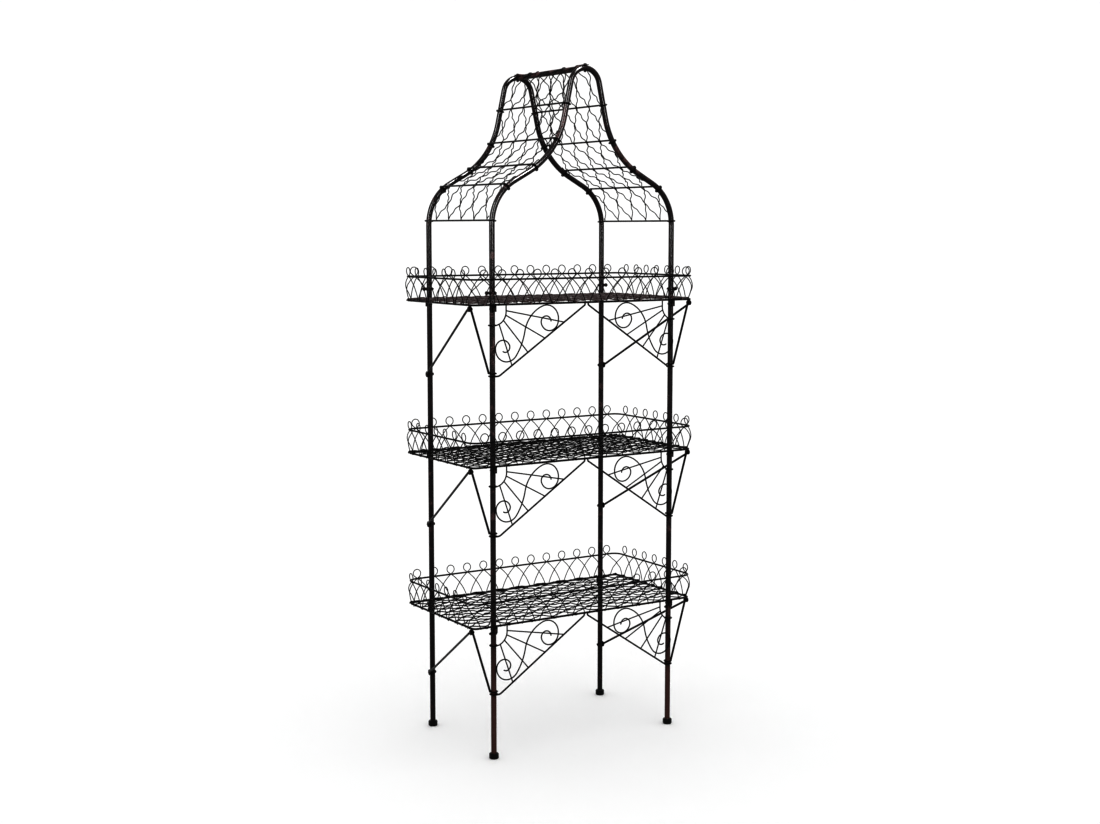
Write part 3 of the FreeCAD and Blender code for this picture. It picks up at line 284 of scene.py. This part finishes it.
def moulded_rubber():
    """Matt black rubber with a little dust."""
    material, place = new_finish("moulded_rubber")
    dust = noise(place, scale=120, detail=4, roughness=0.6).step(0.45, 0.75)
    grain = noise(place, scale=1600, detail=2)
    finish(
        place,
        Base_Color=dust.between(RUBBER, DUSTY_RUBBER),
        Roughness=dust * 0.2 + 0.30,
        Normal=bump(place, grain, 0.00005),
        Specular_IOR_Level=0.20,
    )
    return material


small_finishes["rubber_cap"] = moulded_rubber()
print("small finishes:", sorted(small_finishes))

# %% [markdown]
# ## Finishes onto the construction
#
# Each piece of the construction already names the kind of finish that it takes, as a material
# slot. Handing out finishes by slot keeps a tube and its neighbour alike. Only the ridge tube is set
# apart, because its enamel is much rougher than that of the arches beside it, and so are the front
# legs, which are brown near the floor.

# %% Hand out the finishes
by_slot = {
    "enamelled_tube": tube_enamel,
    "enamelled_rod": rod_enamel,
    "enamelled_wire": wire_enamel,
    **small_finishes,
}
counts = {}
for piece in nodes.values():
    for slot in piece.material_slots:
        kind = slot.material.name.split(".")[0]
        counts[kind] = counts.get(kind, 0) + 1
        slot.material = by_slot[kind]
nodes["ridge_tube"].material_slots[0].material = ridge_enamel
for side in ("left", "right"):
    nodes[f"front_{side}_lower_leg"].material_slots[0].material = front_leg_enamel
print("pieces by slot:", counts)

# %% [markdown]
# ## Wavy wire
#
# The nets are bent from wire with a small wave pressed into it, as fencing wire has, which stops the
# crossings from sliding. A net could be a flat mesh with a picture of wire on it, but the rack is
# looked at from close by, and a black wire against a white wall shows every bend. So each wire is a
# curve with a round section. It is worked out on a flat map of the net first, as a chain of
# crossings: the two wires run side by side through a crossing, swing apart to make the cell, and
# wave as they go, mostly up and down through the net's own plane. A second function lays the map on
# the real surface.

# %% One wire on the flat map
WAVE_LENGTH = 0.033
POINT_STEP = 0.0029
FEWEST_STEPS = 4
STRAIGHT_SHARE, EASED_SHARE = 0.45, 0.55  # of a wire's swing from one crossing to the next
WAVE_ROOM = 0.6  # below 1, the waves reach closer to the crossings


def ease(t):
    """0 at 0, 1 at 1, level at both."""
    t = min(max(t, 0.0), 1.0)
    return t * t * (3 - 2 * t)


def wavy_wire(crossings, radius, over, up_wave, side_wave, end_lifts, chance):
    """Points (along, across, lift) through the crossings of a net whose middle has no lift.

    The wire starts over or under the other wires (1 or -1). It waves up and down, and sideways,
    between the crossings. Its ends have lifts of their own.
    """
    points = []
    last = len(crossings) - 1
    travelled = chance.uniform(0, WAVE_LENGTH)
    for n, ((u0, v0), (u1, v1)) in enumerate(zip(crossings, crossings[1:])):
        reach = hypot(u1 - u0, v1 - v0)
        steps = max(FEWEST_STEPS, round(reach / POINT_STEP))
        for k in range(steps + (n == last - 1)):
            t = k / steps
            swing = STRAIGHT_SHARE * t + EASED_SHARE * ease(t)
            phase = 2 * pi * (travelled + t * reach) / WAVE_LENGTH
            room = sin(pi * t) ** WAVE_ROOM
            aside = side_wave * room * sin(phase)
            along = u0 + (u1 - u0) * t - aside * (v1 - v0) / reach
            across = v0 + (v1 - v0) * swing + aside * (u1 - u0) / reach
            lift = radius * over * cos(pi * (n + t)) + up_wave * room * cos(phase)
            lift += (end_lifts[0] - lift) * ease(1 - n - t)
            lift += (end_lifts[1] - lift) * ease(1 + n + t - last)
            points.append((along, across, lift))
        travelled += reach
    return points


print("a wave every", WAVE_LENGTH, "m, a point every", POINT_STEP, "m")

# %% [markdown]
# ## Cutting and bending the ends
#
# On the real net a wire is cut where it meets a leg or a tube, and its end is either welded flush or
# bent over the rod beside it. A cut could be made with a boolean, which is slow and leaves ragged
# sections on thin wire. Here a wire is still a list of points, so a cut only drops points, and a
# bend adds a few on a coil.

# %% Cut a wire, coil its end, make it round
CRUMB = 3  # a stretch of no more points than this is thrown away
COIL_STEP = 20  # degrees
FEWEST_COIL_STEPS = 6


def inside_runs(points, keep):
    """The stretches of a wire whose points are kept, without crumbs."""
    runs = [[]]
    for point in points:
        if keep(point):
            runs[-1].append(point)
        elif runs[-1]:
            runs.append([])
    return [run for run in runs if len(run) > CRUMB]


def wrap(axis_point, along_axis, spoke, towards, radius, turn, drift):
    """A coil round a rod: from a spoke towards a direction, through an angle in degrees."""
    steps = max(FEWEST_COIL_STEPS, round(abs(turn) / COIL_STEP))
    coil = []
    for n in range(1, steps + 1):
        angle = radians(turn) * n / steps
        aside = along_axis * (drift * n / steps)
        coil.append(axis_point + (spoke * cos(angle) + towards * sin(angle)) * radius + aside)
    return coil


def wire_piece(name, routes, radius, enamel_used=wire_enamel):
    """One object of round wires that stands for a net of the construction."""
    curve = bpy.data.curves.new(f"{name}_wires", "CURVE")
    curve.dimensions = "3D"
    curve.bevel_depth = radius
    curve.bevel_resolution = 2
    curve.use_fill_caps = True
    for route in routes:
        line = curve.splines.new("POLY")
        line.points.add(len(route) - 1)
        line.points.foreach_set("co", [v for point in route for v in (*point, 1.0)])
    curve.materials.append(enamel_used)
    piece = bpy.data.objects.new(f"{name}_wires", curve)
    bpy.context.scene.collection.objects.link(piece)
    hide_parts(name)
    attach(piece, "root")
    print(name, "has", len(routes), "wires")
    return piece


print("helpers:", [helper.__name__ for helper in (inside_runs, wrap, wire_piece)])

# %% [markdown]
# ## The line of the arch
#
# The net of the roof follows the two arches: straight up past the shoulder, in along the hollow
# flare, and over the crown. It could be shrink-wrapped onto a surface, but the tubes were bent to
# plain radii, so their line is a chain of straights and arcs that a short loop can walk. Then every
# wire lies at one true distance from the tubes.

# %% The line of the arch
# Lengths are in metres, angles in degrees, and both are those of the construction.
LEG_X, LEG_Y = 0.315, 0.1875
TUBE_RADIUS = 0.008
SEAM_Z = 1.340
UPRIGHT_LENGTH, INCLINE_LENGTH = 0.213, 0.059
INCLINE, NECK = 28.5, 77.5
SHOULDER, FLARE, CROWN = 0.140, 0.237, 0.050
neck_reach = (
    LEG_X
    - SHOULDER * (1 - sin(radians(INCLINE)))
    - INCLINE_LENGTH * cos(radians(INCLINE))
    - FLARE * (sin(radians(NECK)) - sin(radians(INCLINE)))
    - CROWN * sin(radians(NECK))
)
ARCH_LINE = [
    # length, turn to the left, radius
    (UPRIGHT_LENGTH, 0.0, 0.0),
    (SHOULDER * radians(90 - INCLINE), INCLINE - 90, SHOULDER),
    (INCLINE_LENGTH, 0.0, 0.0),
    (FLARE * radians(NECK - INCLINE), NECK - INCLINE, FLARE),
    (neck_reach / cos(radians(NECK)), 0.0, 0.0),
    (CROWN * radians(NECK), -NECK, CROWN),
]
ARCH_LENGTH = sum(length for length, _, _ in ARCH_LINE)


def on_arch(distance):
    """Point on the left half of the arch, that far above the seam, and the way out from it."""
    x, z, heading = -LEG_X, SEAM_Z, 90.0
    for length, turn, radius in ARCH_LINE:
        part = min(distance, length)
        if radius:
            turned = turn * part / length
            chord = 2 * radius * sin(radians(abs(turned)) / 2)
            x += chord * cos(radians(heading + turned / 2))
            z += chord * sin(radians(heading + turned / 2))
            heading += turned
        else:
            x += part * cos(radians(heading))
            z += part * sin(radians(heading))
        distance -= part
        if distance <= 0:
            break
    return Vector((x, 0, z)), Vector((-sin(radians(heading)), 0, cos(radians(heading))))


peak, _ = on_arch(ARCH_LENGTH)
print("the arch is", round(ARCH_LENGTH, 4), "m from seam to peak, which is at z", round(peak.z, 4))

# %% [markdown]
# ## The roof nets
#
# Each slope of the roof carries a net that hangs close under the cross rods. Its bottom ends are
# welded to the lowest rod, two by two. Its top ends stop against the ridge tube, and about a third
# of them are bent over it. A net of equal cells would be quicker, but it looks printed. So each row
# of crossings gets its own place, where the fitter pulled it to, and the cells differ a little from
# row to row.

# %% Where the crossings sit
NET_RADIUS = 0.0014
ROD_RADIUS = 0.0025
ROD_LIFT = 0.0109  # rod's axis outside the arch tube's axis
NET_LIFT = ROD_LIFT - ROD_RADIUS - 2 * NET_RADIUS
ROD_DISTANCES = [0.224 + 0.110 * n for n in range(5)]
RIDGE_DISTANCE = ARCH_LENGTH - TUBE_RADIUS

# Rows of crossings: distance up the arch, where the row starts from the rear tube, and half its
# pitch, both as shares of the depth between the tubes.
LEFT_ROWS = [
    (ROD_DISTANCES[0], 0.160, 0.0995),
    (0.277, 0.181, 0.1003),
    (ROD_DISTANCES[1] + 0.006, 0.106, 0.1025),
    (0.397, 0.126, 0.0980),
    (ROD_DISTANCES[2], 0.131, 0.1000),
    (0.500, 0.175, 0.0960),
    (ROD_DISTANCES[3], 0.197, 0.0925),
    (0.608, 0.213, 0.0900),
    (ROD_DISTANCES[4], 0.198, 0.0960),
    (0.704, 0.270, 0.0960),
    (RIDGE_DISTANCE, 0.310, 0.0960),
]
RIGHT_ROWS = [
    (ROD_DISTANCES[0], 0.030, 0.0995),
    (0.276, -0.017, 0.0985),
    (ROD_DISTANCES[1], -0.005, 0.0975),
    (0.389, 0.026, 0.0950),
    (ROD_DISTANCES[2], 0.049, 0.0975),
    (0.503, 0.042, 0.0980),
    (ROD_DISTANCES[3], 0.057, 0.0940),
    (0.608, 0.088, 0.0885),
    (ROD_DISTANCES[4], 0.078, 0.0873),
    (0.714, -0.034, 0.0980),
    (RIDGE_DISTANCE, 0.030, 0.0900),
]
print("rows of crossings:", len(LEFT_ROWS), "on the left and", len(RIGHT_ROWS), "on the right")

# %% Lay the map on a slope
RIDGE = peak + Vector((0, 0, 0.0005))
HOOK_DRIFT = 0.004  # how far a bent end moves along the ridge tube


def on_slope(point):
    """A point of the flat map, laid on the left slope."""
    distance, y, lift = point
    foot, out = on_arch(min(distance, ARCH_LENGTH))
    return foot + out * (NET_LIFT + lift) + Vector((0, y, 0))


def ridge_hook(end, way, turn):
    """A wire's top end bent over the ridge tube."""
    spoke = end - RIDGE - Vector((0, end.y, 0))
    towards = Vector((spoke.z, 0, -spoke.x)).normalized()
    axis = RIDGE + Vector((0, end.y, 0))
    return wrap(axis, Vector((0, way, 0)), spoke.normalized(), towards, spoke.length, turn, HOOK_DRIFT)


print("the net lies", round(NET_LIFT, 4), "m outside the tubes' axes")

# %% The nets of the two slopes
ROOF_WAVES = (0.0026, 0.0013)  # up and down, and sideways
WIRE_STARTS = range(-12, 24, 2)  # half cells before the first row, so that the net fills its corners
PAIR_SHIFT = 0.0016  # the ends of two wires at one crossing lie this far to its sides
TOP_LIFT = -0.0006
SIDE_GAP = 0.0062  # from an arch tube's axis to the cut end of a wire
BENT_SHARE = 0.35
BENT_TURNS = (60, 150)  # degrees over the ridge tube


def roof_net(name, rows, side, seed):
    """The wires of one slope. Half of them lean to the front as they climb, half to the rear."""
    chance = Random(seed)
    routes = []
    for lean in (1, -1):
        for first in WIRE_STARTS:
            crossings = []
            for n, (distance, start, half) in enumerate(rows):
                share = start + half * (first + lean * n)
                beside = PAIR_SHIFT * lean * (n in (0, len(rows) - 1))
                crossings.append((distance, LEG_Y - 2 * LEG_Y * share + beside))
            wire = wavy_wire(crossings, NET_RADIUS, lean, *ROOF_WAVES, (NET_RADIUS, TOP_LIFT), chance)
            bends_over = chance.random() < BENT_SHARE
            for run in inside_runs(wire, lambda point: abs(point[1]) < LEG_Y - SIDE_GAP):
                route = [on_slope(point) for point in run]
                if run[-1] == wire[-1] and bends_over:
                    route += ridge_hook(route[-1], lean, chance.uniform(*BENT_TURNS))
                routes.append([Vector((side * p.x, p.y, p.z)) for p in route])
    return wire_piece(name, routes, NET_RADIUS)


roof_net("left_roof_net", LEFT_ROWS, side=1, seed=11)
roof_net("right_roof_net", RIGHT_ROWS, side=-1, seed=12)

# %% [markdown]
# ## The shelf nets
#
# A shelf is the same net, made closer, pulled flat over a rod frame. Every wire that reaches the
# frame is bent down over the rod, which gives the frame its row of small knuckles, and near a leg
# the net is cut away. The crossings lie on a grid of half cells that starts at the rear side. They
# could sit on the grid exactly, but each is nudged a little, as in a net that was pulled by hand.

# %% The frame and its grid of crossings
FRAME_X, FRAME_Y = 0.3865, 0.1985
FRAME_ROD = 0.003
FRAME_CORNER = 0.014
CORNER_INSET = FRAME_CORNER * (1 - 0.5 ** 0.5)  # a rounded corner lies inside the square one
DECK_RADIUS = 0.0017
HALF_COLUMNS, HALF_ROWS = 20, 19
STEP_X, STEP_Y = 2 * FRAME_X / HALF_COLUMNS, 2 * FRAME_Y / HALF_ROWS
LEG_GAP = TUBE_RADIUS + DECK_RADIUS + 0.0001


def clear_of_legs(point):
    """Whether a point of the flat map is outside the legs."""
    return hypot(abs(point[0]) - LEG_X, abs(point[1]) - LEG_Y) > LEG_GAP


def deck_crossings(first, lean, nudges):
    """Crossings of the wire that leaves the rear side at a column and drifts with the lean."""
    places = [(first + lean * n, n) for n in range(HALF_ROWS + 1)]
    places = [(column, row) for column, row in places if 0 <= column <= HALF_COLUMNS]
    crossings = []
    for column, row in places:
        x = column * STEP_X - FRAME_X
        y = FRAME_Y - row * STEP_Y
        at_corner = column in (0, HALF_COLUMNS) and row in (0, HALF_ROWS)
        at_side = column in (0, HALF_COLUMNS) or row in (0, HALF_ROWS)
        if at_corner:
            x -= CORNER_INSET * (1 if x > 0 else -1)
            y -= CORNER_INSET * (1 if y > 0 else -1)
        elif not at_side:
            x += nudges[column, row][0]
            y += nudges[column, row][1]
        crossings.append((x, y))
    return crossings


print("half a cell is", round(STEP_X, 4), "by", round(STEP_Y, 4), "m")

# %% The bend over the frame
AT_ROD = 0.005  # an end this close to the frame's axis lies on its rod
FRAME_TURN, FRAME_DRIFT = 115, 0.0020  # degrees round the rod, and metres along it


def frame_hook(end, axis_z, way):
    """The bend of a wire over the frame's rod, from its end on top of the rod."""
    side_x = abs(end.x) > FRAME_X - AT_ROD
    side_y = abs(end.y) > FRAME_Y - AT_ROD
    outward = Vector((side_x * (1 if end.x > 0 else -1), side_y * (1 if end.y > 0 else -1), 0))
    outward.normalize()
    along_rod = Vector((-outward.y, outward.x, 0)) * way
    axis = Vector((end.x, end.y, axis_z))
    radius = end.z - axis_z
    return wrap(axis, along_rod, Vector((0, 0, 1)), outward, radius, FRAME_TURN, FRAME_DRIFT)


print("wires turn", FRAME_TURN, "degrees round the frame's rod")

# %% The nets of the three shelves
DECK_WAVES = (0.0013, 0.0007)  # up and down, and sideways
LOOSE = 0.0017  # largest nudge of a crossing


def shelf_net(name, underside, seed, enamel_used=wire_enamel):
    """Two families of wires, each wire from one side of the frame to another."""
    chance = Random(seed)
    axis_z = underside + FRAME_ROD
    middle = axis_z + FRAME_ROD + 2 * DECK_RADIUS
    ends = (-DECK_RADIUS, -DECK_RADIUS)
    nudges = {
        (column, row): (chance.uniform(-LOOSE, LOOSE), chance.uniform(-LOOSE, LOOSE))
        for column in range(HALF_COLUMNS + 1) for row in range(HALF_ROWS + 1)
    }
    routes = []
    for lean in (1, -1):
        for first in range(-HALF_ROWS - 1, HALF_COLUMNS + HALF_ROWS + 1, 2):
            crossings = deck_crossings(first, lean, nudges)
            if len(crossings) < 2:
                continue
            wire = wavy_wire(crossings, DECK_RADIUS, lean, *DECK_WAVES, ends, chance)
            for run in inside_runs(wire, clear_of_legs):
                route = [Vector((x, y, middle + lift)) for x, y, lift in run]
                if run[0] == wire[0]:
                    route = frame_hook(route[0], axis_z, lean)[::-1] + route
                if run[-1] == wire[-1]:
                    route += frame_hook(route[-1], axis_z, -lean)
                routes.append(route)
    return wire_piece(name, routes, DECK_RADIUS, enamel_used)


shelf_net("lower_shelf_net", underside=0.394, seed=21)
shelf_net("middle_shelf_net", underside=0.861, seed=22)
shelf_net("upper_shelf_net", underside=1.324, seed=23, enamel_used=top_net_sheen_enamel)

# %% [markdown]
# ## Knobs over the top shelf
#
# The four joints above the top shelf are held by bolts that are turned by hand, so a small ball
# stands off the outer side of each tube there, on a short neck. A ball and a cylinder could be
# joined, but a knob is turned in one go on a lathe, and the same way works here: its half outline
# is written once, as distances from the tube's middle and radii, and spun round the bolt's line.

# %% The outline of a knob
BALL_RADIUS, BALL_DISTANCE = 0.0057, 0.0178
NECK_RADIUS, NECK_START = 0.0034, 0.0105
BALL_STEPS = 12


def knob_outline():
    """Distance from the tube's middle and radius, from the neck's foot nearly to the ball's top."""
    start = pi - asin(NECK_RADIUS / BALL_RADIUS)
    outline = [(NECK_START, NECK_RADIUS)]
    for n in range(BALL_STEPS):
        angle = start * (1 - n / BALL_STEPS)
        outline.append((BALL_DISTANCE + BALL_RADIUS * cos(angle), BALL_RADIUS * sin(angle)))
    return outline


print("a knob stands", round(BALL_DISTANCE + BALL_RADIUS - TUBE_RADIUS, 4), "m off its tube")

# %% Four turned knobs
KNOB_LEVEL = 1.360
AROUND = 24  # corners of each ring


def turned_knobs(legs):
    """One mesh with a knob on the outer side of each of these legs (side, end), each 1 or -1."""
    points, faces = [], []
    outline = knob_outline()
    for side, end in legs:
        first = len(points)
        for distance, radius in outline:
            for n in range(AROUND):
                turn = 2 * pi * n / AROUND
                y = end * LEG_Y + radius * cos(turn) * side
                points.append((side * (LEG_X + distance), y, KNOB_LEVEL + radius * sin(turn)))
        for ring in range(len(outline) - 1):
            for n in range(AROUND):
                a = first + ring * AROUND + n
                b = first + ring * AROUND + (n + 1) % AROUND
                faces.append((a, b, b + AROUND, a + AROUND))
        last = first + (len(outline) - 1) * AROUND
        top = len(points)
        points.append((side * (LEG_X + BALL_DISTANCE + BALL_RADIUS), end * LEG_Y, KNOB_LEVEL))
        faces.append(tuple(first + n for n in reversed(range(AROUND))))
        faces += [(last + n, last + (n + 1) % AROUND, top) for n in range(AROUND)]
    mesh = bpy.data.meshes.new("upper_joint_knobs")
    mesh.from_pydata(points, [], faces)
    mesh.shade_smooth()
    mesh.materials.append(small_finishes["blackened_fastener"])
    piece = bpy.data.objects.new("upper_joint_knobs", mesh)
    bpy.context.scene.collection.objects.link(piece)
    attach(piece, "root")
    return piece


knobs = turned_knobs([(side, end) for side in (-1, 1) for end in (-1, 1)])
print("knobs of", len(knobs.data.polygons), "faces")

# %% [markdown]
# ## The floor
#
# The rack stands in an empty pale studio. A flat plane would end in a horizon behind it, so the
# floor runs back and bends up into a wall, as a roll of paper does.

# %% A floor that sweeps up behind
HALF_WIDTH, FRONT, BACK, TOP, BEND = 14.0, -12.0, 7.0, 9.0, 3.0
BEND_STEPS = 16
FLOOR_TURN = -32.5  # degrees, so that the wall is square to the view
PALE, PALER = (0.97, 0.97, 0.97, 1), (0.98, 0.98, 0.98, 1)


def sweep_floor():
    """A sheet that runs back on the floor and bends up into a wall."""
    profile = [(FRONT, 0.0)]
    for n in range(BEND_STEPS + 1):
        angle = n / BEND_STEPS * pi / 2
        profile.append((BACK + BEND * sin(angle), BEND - BEND * cos(angle)))
    profile.append((BACK + BEND, TOP))
    points = [(x, y, z) for y, z in profile for x in (-HALF_WIDTH, HALF_WIDTH)]
    faces = [(2 * n, 2 * n + 1, 2 * n + 3, 2 * n + 2) for n in range(len(profile) - 1)]
    mesh = bpy.data.meshes.new("floor")
    mesh.from_pydata(points, [], faces)
    mesh.shade_smooth()
    floor = bpy.data.objects.new("floor", mesh)
    bpy.context.scene.collection.objects.link(floor)
    floor.rotation_euler.z = radians(FLOOR_TURN)
    material, place = new_finish("pale_floor")
    finish(place, Base_Color=noise(place, scale=0.4, detail=1).between(PALE, PALER), Roughness=0.9)
    mesh.materials.append(material)
    floor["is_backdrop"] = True
    return floor


floor = sweep_floor()
print("floor of", [round(v, 1) for v in floor.dimensions], "m")

# %% [markdown]
# ## The light
#
# A black object is seen by what it reflects. On a round tube a lamp shows as one pale line, so a
# soft box high in front draws a line along the bends of the roof, and two upright ones draw fainter
# lines down the tubes under it. They shine on the tubes alone, since on the floor they would leave
# pools of light. An even white sky lights the rest. A painted sky with windows in it could draw the
# lines too, but lamps are easier to move while looking at a tube.

# %% Soft boxes for the tubes
def soft_box(name, place, aim, width, height, power):
    """A rectangular area lamp that faces a point."""
    lamp = bpy.data.lights.new(name, "AREA")
    lamp.shape = "RECTANGLE"
    lamp.size = width
    lamp.size_y = height
    lamp.energy = power
    holder = bpy.data.objects.new(name, lamp)
    bpy.context.scene.collection.objects.link(holder)
    holder.location = place
    holder.rotation_euler = (Vector(aim) - Vector(place)).to_track_quat("-Z", "Y").to_euler()
    return holder


def shine_on(lamp, pieces):
    """Lets a lamp light these pieces alone, and leave the floor as it is."""
    lit = bpy.data.collections.new(f"{lamp.name}_shines_on")
    for piece in pieces:
        lit.objects.link(piece)
    lamp.light_linking.receiver_collection = lit


ROOF_MIDDLE = (0.0, 0.0, 1.75)
tubes = [piece for name, piece in nodes.items() if name.endswith(("arch", "leg", "ridge_tube"))]
shine_on(soft_box("high_box", (0.6, -2.6, 5.3), ROOF_MIDDLE, width=1.4, height=2.6, power=2800), tubes)
shine_on(soft_box("left_box", (-4.8, -1.5, 3.3), ROOF_MIDDLE, width=1.1, height=3.6, power=1900), tubes)
shine_on(soft_box("front_box", (-0.2, -5.0, 2.6), ROOF_MIDDLE, width=0.6, height=2.4, power=900), tubes)

# %% [markdown]
# ## The sky and the tones
#
# The sky is a little brighter than white, which keeps the wall clean behind the wires. A black wire
# thinner than a pixel is drawn as a grey one, and comes out greyer than it looks to the eye. Thicker
# wire would be wrong, so the view's middle tones are set darker.

# %% A white sky
SKY_STRENGTH = 1.08
MIDDLE_TONES = 0.62

world = bpy.data.worlds.new("studio")
bpy.context.scene.world = world
world.use_nodes = True
sky = world.node_tree.nodes["Background"].inputs
sky["Color"].default_value = (1.0, 1.0, 1.0, 1.0)
sky["Strength"].default_value = SKY_STRENGTH
view = bpy.context.scene.view_settings
view.view_transform = "Standard"
view.gamma = MIDDLE_TONES
print("sky", SKY_STRENGTH, "and middle tones", MIDDLE_TONES)

# %% [markdown]
# ## The camera
#
# The rack is tall and narrow. Seen from its front left corner, a little above the middle, it shows
# its depth, the tops of the lower shelves and the hollow of the roof at once. A longer lens from
# further off would flatten it, and a shorter one would spread its feet.

# %% The camera
FOCAL_LENGTH, SENSOR_WIDTH = 52.9, 36.0
CAMERA_PLACE = (-2.6417, -4.1480, 1.5404)
CAMERA_DIP, CAMERA_TURN = 6.46, -32.48

lens = bpy.data.cameras.new("camera")
lens.lens = FOCAL_LENGTH
lens.sensor_width = SENSOR_WIDTH
camera = bpy.data.objects.new("camera", lens)
bpy.context.scene.collection.objects.link(camera)
camera.location = CAMERA_PLACE
camera.rotation_euler = (radians(90 - CAMERA_DIP), 0.0, radians(CAMERA_TURN))
bpy.context.scene.camera = camera
print("camera", round(hypot(camera.location.x, camera.location.y), 2), "m from the middle of the rack")

# %% [markdown]
# ## The size of the rack
#
# Writing both boxes down makes it easy to compare
# the dressed rack with its construction.

# %% Write down both boxes
boxes = {"construction": construction_box, "dressed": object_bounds()}
boxes = {name: [list(end) for end in box] for name, box in boxes.items()}
print(boxes)
